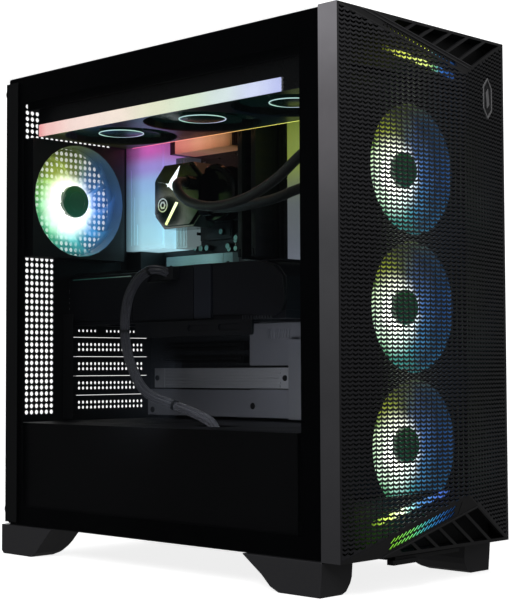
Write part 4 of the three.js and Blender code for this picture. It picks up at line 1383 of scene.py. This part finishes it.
def rear_ports():
    y1 = limits("io_cover")[1][1]
    ports = Shape()
    for x0, x1, z0, z1 in (
        (44, 57, 398, 404), (44, 57, 384, 390), (44, 60, 352, 366), (44, 57, 330, 336), (44, 57, 316, 322),
    ):
        grown = rectangle((x0 - 1, x1 + 1), (z0 - 1, z1 + 1))
        ports.prism(grown, "y", y1 - 0.5, y1 + 0.1, [rectangle((x0, x1), (z0, z1))])
        ports.of(1).box(
            (x0 + 1, x1 - 1), (y1 - 0.2, y1 + 0.05), ((z0 + z1) / 2 - 0.8, (z0 + z1) / 2 + 0.8),
        ).of(0)
    for v in (372, 345, 300):
        ports.of(1).lathe(
            [(3.2, -0.4), (3.2, 0.1), (1.8, 0.1), (1.7, -0.2)], (66, y1, v), (0, 1, 0), 24,
        ).of(0)
    ports.done("rear_port_shells", [BRIGHT, DARK], "heatsink_metal", ["io_cover"])


def processor_heatsink():
    """The finned block over the power stages, and the block that runs down beside the socket."""
    vrm = Shape()
    vrm.prism([(72, 412), (156, 412), (156, 432.8), (72, 432.8)], "x", 49, BOARD_TOP)
    for k in range(7):
        u = 54 + k * 2.6
        vrm.of(2).box((50, BOARD_TOP), (u, u + 1.3), (412.5, 432.5))
    vrm.box((49.5, BOARD_TOP), (156.3, 164.4), (412, 431))
    vrm.of(0).box((48.6, 49.2), (98, 101), (412.6, 432.2))
    vrm.of(1).prism([(147, 312), (164.4, 312), (164.4, 409), (147, 409)], "x", 58, BOARD_TOP)
    for k in range(3):
        vrm.box((57, 58.4), (149 + 5.2 * k, 152.6 + 5.2 * k), (314, 407))
    vrm.done(
        "vrm_cooler", [VRM_METAL, SIDE_METAL, VRM_PAINTED_SHADE], "heatsink_metal", ["vrm_heatsink"], bevel=0.4,
    )


def drive_covers():
    x, y, z = limits("drive_heatsink_upper")
    upper = Shape().box((x[0] + 0.8, x[1]), y, z)
    upper.box((x[0], x[0] + 1), (y[0] + 14, y[0] + 56), (z[0], z[1]))
    screw_heads(upper.of(1), 2.7, 1.2, x[0] + 0.9, [(u, sum(z) / 2) for u in (y[0] + 7, y[1] - 8)])
    upper.done(
        "drive_cover_upper", [DRIVE_UPPER_PAINTED_LIGHT, SCREW], "heatsink_metal", ["drive_heatsink_upper"], bevel=0.4,
    )
    x, y, z = limits("drive_heatsink_lower")
    lower = Shape().prism(rectangle(y, z), "x", x[0] + 1.6, x[1])
    for k in range(6):
        v = z[0] + 1.2 + k * 3.3
        lower.box((x[0] + 0.4, x[0] + 1.8), (y[0] + 12, y[1] - 18), (v, v + 2.3))
    lower.box((x[0] + 0.9, x[0] + 2), (y[1] - 17, y[1] - 10), z)
    screw_heads(lower.of(1), 3, 1.4, x[0] + 1.7, [(u, sum(z) / 2) for u in (y[0] + 6, y[1] - 5)])
    lower.done("drive_cover_lower", [SILVER, SCREW], "heatsink_metal", ["drive_heatsink_lower"], bevel=0.3)


def chipset_plate():
    x = limits("chipset_cover")[0]
    chip = Shape()
    chip.prism(
        [(-9.6, 134.4), (224, 134.4), (224, 162.2), (66, 162.2), (66, 163), (-9.6, 163)], "x", x[0] + 1,
        x[1],
    )
    chip.prism([(-9.6, 187.2), (66, 187.2), (66, 236), (-3, 236), (-9.6, 229)], "x", x[0] + 1, x[1])
    chip.prism([(-9.6, 162), (5, 162), (5, 188), (-9.6, 188)], "x", x[0] + 1, x[1])
    for k in range(8):
        chip.box((x[0], x[0] + 1.2), (10 + k * 4, 12 + k * 4), (214, 224))
    screw_heads(chip.of(1), 3.4, 0.9, x[0] + 1.1, ((62, 146), (-4, 200), (216, 140)), 20)
    chip.done("chipset_plate", [GREY, SCREW], "heatsink_metal", ["chipset_cover"], bevel=0.4)


for make_cover in (io_cover, rear_ports, processor_heatsink, drive_covers, chipset_plate):
    make_cover()


def memory():
    for i in (1, 2):
        node = f"memory_module_{i}"
        x, y, z = limits(node)
        my = sum(y) / 2
        stick = Shape().box((x[0] + 3, x[1]), (my - 0.6, my + 0.6), (z[0], z[1]))
        for side in (-1, 1):
            a, b = sorted((my + side * 0.7, my + side * 3.1))
            stick.of(1).box((x[0] + 0.2, x[1] - 6), (a, b), (z[0] + 1.5, z[1] - 1.5))
            for k in range(9):
                u, v = z[0] + 8 + k * 13.6, z[0] + 15 + k * 13.6
                c, d = sorted((my + side * 2.6, my + side * 3.2))
                stick.of(0).box((x[0] + 5, x[1] - 10), (c, d), (u, v))
        stick.of(1).box((x[0], x[0] + 3), (my - 2, my + 2), (z[0] + 10, z[1] - 10))
        stick.done(f"memory_stick_{i}", [DARK, GREY_DARK], "module_metal", [node], bevel=0.3)


GREY_DARK = surface("module_spreader", (34, 35, 39), 0.4, 0.5, grain=500, bump=0.1, stretch=(1, 1, 12))
memory()

# ---------------------------------------------------------------- graphics card


def card_shroud(near, far, under, top, rear, pocket):
    """The card's plastic shell: its body over the fans, and the layered plates on its near side."""
    card = Shape()
    body = [
        (-88, pocket), (rear, pocket), (rear, top - 6), (rear - 4, top - 3), (118, top - 3),
        (110, top - 1),
        (-60, top - 1), (-78, top - 6), (-87, top - 16),
    ]
    card.prism(body, "x", near + 3, far)
    left = [
        (124, under + 2), (132, under + 2), (rear - 10, under + 3), (rear - 2, under + 10),
        (rear - 2, top - 9), (rear - 6, top - 7), (124, top - 7),
    ]
    card.prism(left, "x", near + 1.4, near + 3.2)
    middle = [
        (33, under + 0.5), (121, under + 0.5), (121, under + 12), (119, top - 12), (108, top - 0.5),
        (33, top),
    ]
    card.prism(
        middle, "x", near, near + 3.2, [[(52, top - 14), (100, top - 14), (94, top - 6), (58, top - 6)]],
    )
    card.of(1).prism(rectangle((8, 31), (under + 0.5, top)), "x", near - 0.6, near + 3.2)
    card.of(0).prism(
        [
            (5, under + 4), (6, top), (-52, top - 0.5), (-74, top - 6), (-85, top - 16), (-88, under + 16),
            (-84, under + 5), (-74, under + 1),
        ],
        "x", near + 0.2, near + 3.2,
    )
    card.of(2)
    for k in range(11):
        v = -70 + k * 3.6
        card.box((near + 1, near + 6), (v, v + 1.5), (under - 1.5, under + 4))
    card.of(0)
    for k in range(16):
        v = 130 + k * 5.5
        card.box((near + 2.6, near + 3.6), (v, v + 3), (top - 13, top - 10.5))
    card.done("graphics_card_shroud", [CARD, CARD_BAND, FIN], "card_plastic", ["graphics_card"], bevel=0.7)


def card_plates(near, far, under, top, rear, pocket):
    """The plate with the fans' wells below, and the backplate above."""
    wells = [circle(13, v, 45.2, 48) for v in (-40, 57, 154)]
    under_plate = Shape()
    for y0, y1, z0, z1 in (
        (-86.6, rear - 4, under - 1.4, under + 6), (-88, rear, under + 5.9, pocket + 0.1),
    ):
        under_plate.prism(rectangle((near + 3, far), (y0, y1)), "z", z0, z1, wells)
    under_plate.done("graphics_card_fan_plate", CARD, "card_plastic", ["graphics_card"])
    back = Shape().prism(rounded((near + 5, far + 1), (-80, 222), 3), "z", top - 0.9, top, [
        rounded((near + 18 + 8 * k, near + 21 + 8 * k), (-70, -20), 1.2) for k in range(9)])
    back.box((near + 3.4, near + 5), (rear - 84, rear - 4), (top - 2.2, top - 1.6))
    back.done("graphics_card_backplate", BACKPLATE, "card_plastic", ["graphics_card"])


def card_bracket(rear):
    plate = Shape().prism(rectangle((-35, 77), (239, 278)), "y", rear + 1.3, 228.5, [
        *[rectangle((-22 + 22 * k, -5.6 + 22 * k), (259.7, 266.2)) for k in range(4)],
        *[circle(-28 + k * 6.2, v, 2.2, 6) for k in range(16) for v in (245, 251.3)]])
    plate.box((-30, 60), (rear - 1, rear + 1.4), (268, 277))
    plate.of(1)
    for k in range(4):
        plate.box((-21 + 22 * k, -6.6 + 22 * k), (rear - 4, rear + 0.6), (261.6, 264))
    plate.done("graphics_card_bracket", [BRIGHT, DARK], "card_plastic", ["graphics_card"])


def card_line(near, top, rear):
    glow_line = Shape().box((near + 1.6, near + 2.6), (126, rear - 8), (top - 6.6, top - 6))
    glow_line.done("graphics_card_top_line", LINE, "card_plastic")


FIN = surface("card_fins", (70, 72, 76), 0.4, 0.8, grain=500, bump=0.1)
BACKPLATE = surface("card_backplate", (30, 31, 36), 0.35, 0.6, grain=260, bump=0.1, stretch=(1, 20, 1))
LINE = surface(
    "card_line", (60, 90, 84), 0.3,
    glow=("Y", 120, 226, even([(130, 150, 140), (40, 90, 80), (20, 60, 56)])), strength=0.6,
)
CARD_NEAR, CARD_TOP, CARD_REAR = -40.0, 283.5, 226.0
CARD_LIMITS = (CARD_NEAR, 66.0, 231.0, CARD_TOP, CARD_REAR, 245.0)
card_shroud(*CARD_LIMITS)
card_plates(*CARD_LIMITS)
card_bracket(CARD_REAR)
card_line(CARD_NEAR, CARD_TOP, CARD_REAR)


def support():
    x, y, z = limits("card_support_bracket")
    arm = Shape().prism(rounded(y, z, 2.6), "x", x[0], x[0] + 3, [
        rounded((y[0] + start, y[0] + start + 32), (z[0] + 4.4, z[1] - 3.8), 2.6) for start in (12, 54)
    ])
    arm.prism(rounded((y[0] + 1.5, y[1] - 1.5), (z[0] + 1.5, z[1] - 1.5), 2), "x", x[0] + 1.6, x[0] + 2.4)
    arm.box((x[0] + 1, x[1]), (y[1] - 14, y[1]), (z[1] - 3, z[1]))
    arm.done("card_support_arm", SUPPORT, "bracket_steel", ["card_support_bracket"], bevel=0.5)


SUPPORT = surface("support_steel", (9, 10, 13), 0.4, 0.3, grain=1300, bump=0.2)
support()


def mains_inlet():
    y = limits("power_supply")[1][1]
    pins = Shape()
    for x, z in ((63, 66.5), (57, 58.5), (69, 58.5)):
        pins.box((x - 1, x + 1), (y - 11, y - 1), (z - 2.6, z + 2.6))
    pins.done("mains_inlet_pins", BRIGHT, "supply_steel", bevel=0.3)


mains_inlet()


def port_tongues():
    y, z = limits("io_strip")[1:]
    tongues = Shape()
    for left in (63, 81):
        tongues.box((left + 1, left + 12.1), (y[0] + 11.2, y[0] + 12.8), (z[0] + 5, z[1] - 1.4))
    tongues.box((50.5, 56.5), (y[0] + 11.7, y[0] + 12.3), (z[0] + 6, z[1] - 1.2))
    tongues.done("port_tongues", DARK, "button_plastic")


port_tongues()

# ---------------------------------------------------------------- floor, light and world


def floor():
    """A pale disc that fades out with distance, so that no horizon shows."""
    made = Shape().prism(circle(0, 0, 2600, 96), "z", -6, -0.02)
    tree = Tree("pale_floor")
    shade = tree.mix(
        tree.spread(tree.noise(3.0), 0.0, 1.0, 0.3, 0.7), (0.9, 0.9, 0.905, 1), grey(0.94),
    )
    away = tree.node("ShaderNodeVectorMath", {0: tree.place}, operation="LENGTH").outputs["Value"]
    finish = tree.shader({
        "Base Color": shade, "Roughness": tree.spread(tree.noise(40.0), 0.8, 0.95),
        "Specular IOR Level": 0.1,
        "Emission Color": grey(1), "Emission Strength": 0.84,
        "Alpha": tree.spread(away, 1.0, 0.0, 0.5, 1.9),
    })
    mesh = bpy.data.meshes.new("floor")
    mesh.from_pydata([Vector(p) * MM for p in made.points], [], made.faces)
    mesh.materials.append(finish)
    thing = bpy.data.objects.new("floor", mesh)
    thing.visible_diffuse = thing.visible_glossy = False
    bpy.context.scene.collection.objects.link(thing)


def area_light(name, at, aim, size, power, shade=(1, 1, 1), tall=None):
    data = bpy.data.lights.new(name, "AREA")
    data.shape = "RECTANGLE"
    data.size, data.size_y = size, tall or size
    data.energy = power
    data.color = shade
    lamp = bpy.data.objects.new(name, data)
    lamp.location = at
    lamp.rotation_euler = (Vector(aim) - Vector(at)).to_track_quat("-Z", "Y").to_euler()
    bpy.context.scene.collection.objects.link(lamp)
    return lamp


SPARK_RADIUS = 0.012


def spark(name, at, power, shade):
    """A small lamp inside the case, at a place in millimetres."""
    data = bpy.data.lights.new(name, "POINT")
    data.energy, data.color, data.shadow_soft_size = power, shade, SPARK_RADIUS
    lamp = bpy.data.objects.new(name, data)
    lamp.location = [v * MM for v in at]
    lamp.visible_glossy = False
    bpy.context.scene.collection.objects.link(lamp)


def studio():
    world = bpy.data.worlds.new("studio")
    world.use_nodes = True
    nodes, links = world.node_tree.nodes, world.node_tree.links
    nodes.clear()
    path = nodes.new("ShaderNodeLightPath")
    seen, lit, mix = nodes.new(
        "ShaderNodeBackground"
    ), nodes.new("ShaderNodeBackground"), nodes.new("ShaderNodeMixShader")
    seen.inputs[0].default_value, seen.inputs[1].default_value = grey(1), 1.35
    lit.inputs[0].default_value, lit.inputs[1].default_value = grey(1), 0.1
    links.new(path.outputs["Is Camera Ray"], mix.inputs[0])
    links.new(lit.outputs[0], mix.inputs[1])
    links.new(seen.outputs[0], mix.inputs[2])
    links.new(mix.outputs[0], nodes.new("ShaderNodeOutputWorld").inputs[0])
    bpy.context.scene.world = world
    bpy.context.scene.view_settings.view_transform = "Standard"
    area_light("key", (-1.8, -0.8, 1.6), (0, 0, 0.3), 1.1, 22)
    area_light("front_fill", (0.6, -1.9, 1.2), (0, 0, 0.25), 1.2, 3)
    area_light("back_fill", (0.9, 1.6, 1.3), (0, 0, 0.25), 1.4, 12)
    fill = area_light(
        "inner_fill", (-0.1, -0.04, 0.165), (0.08, 0.1, 0.19), 0.2, 0.22, (0.93, 0.95, 1.0), 0.05,
    )
    fill.visible_camera = fill.visible_glossy = False
    spark("glow_magenta", (30, 190, 425), 0.03, (1.0, 0.25, 0.55))
    spark("glow_salmon", (20, 120, 408), 0.04, (1.0, 0.6, 0.45))
    spark("glow_green", (20, -30, 408), 0.03, (0.5, 1.0, 0.5))
    spark("glow_cyan", (10, 150, 300), 0.05, (0.6, 0.95, 1.0))
    spark("glow_rear_fan", REAR_HUB - Vector((20, 60, 0)), 0.05, (0.6, 1.0, 0.75))


floor()
studio()
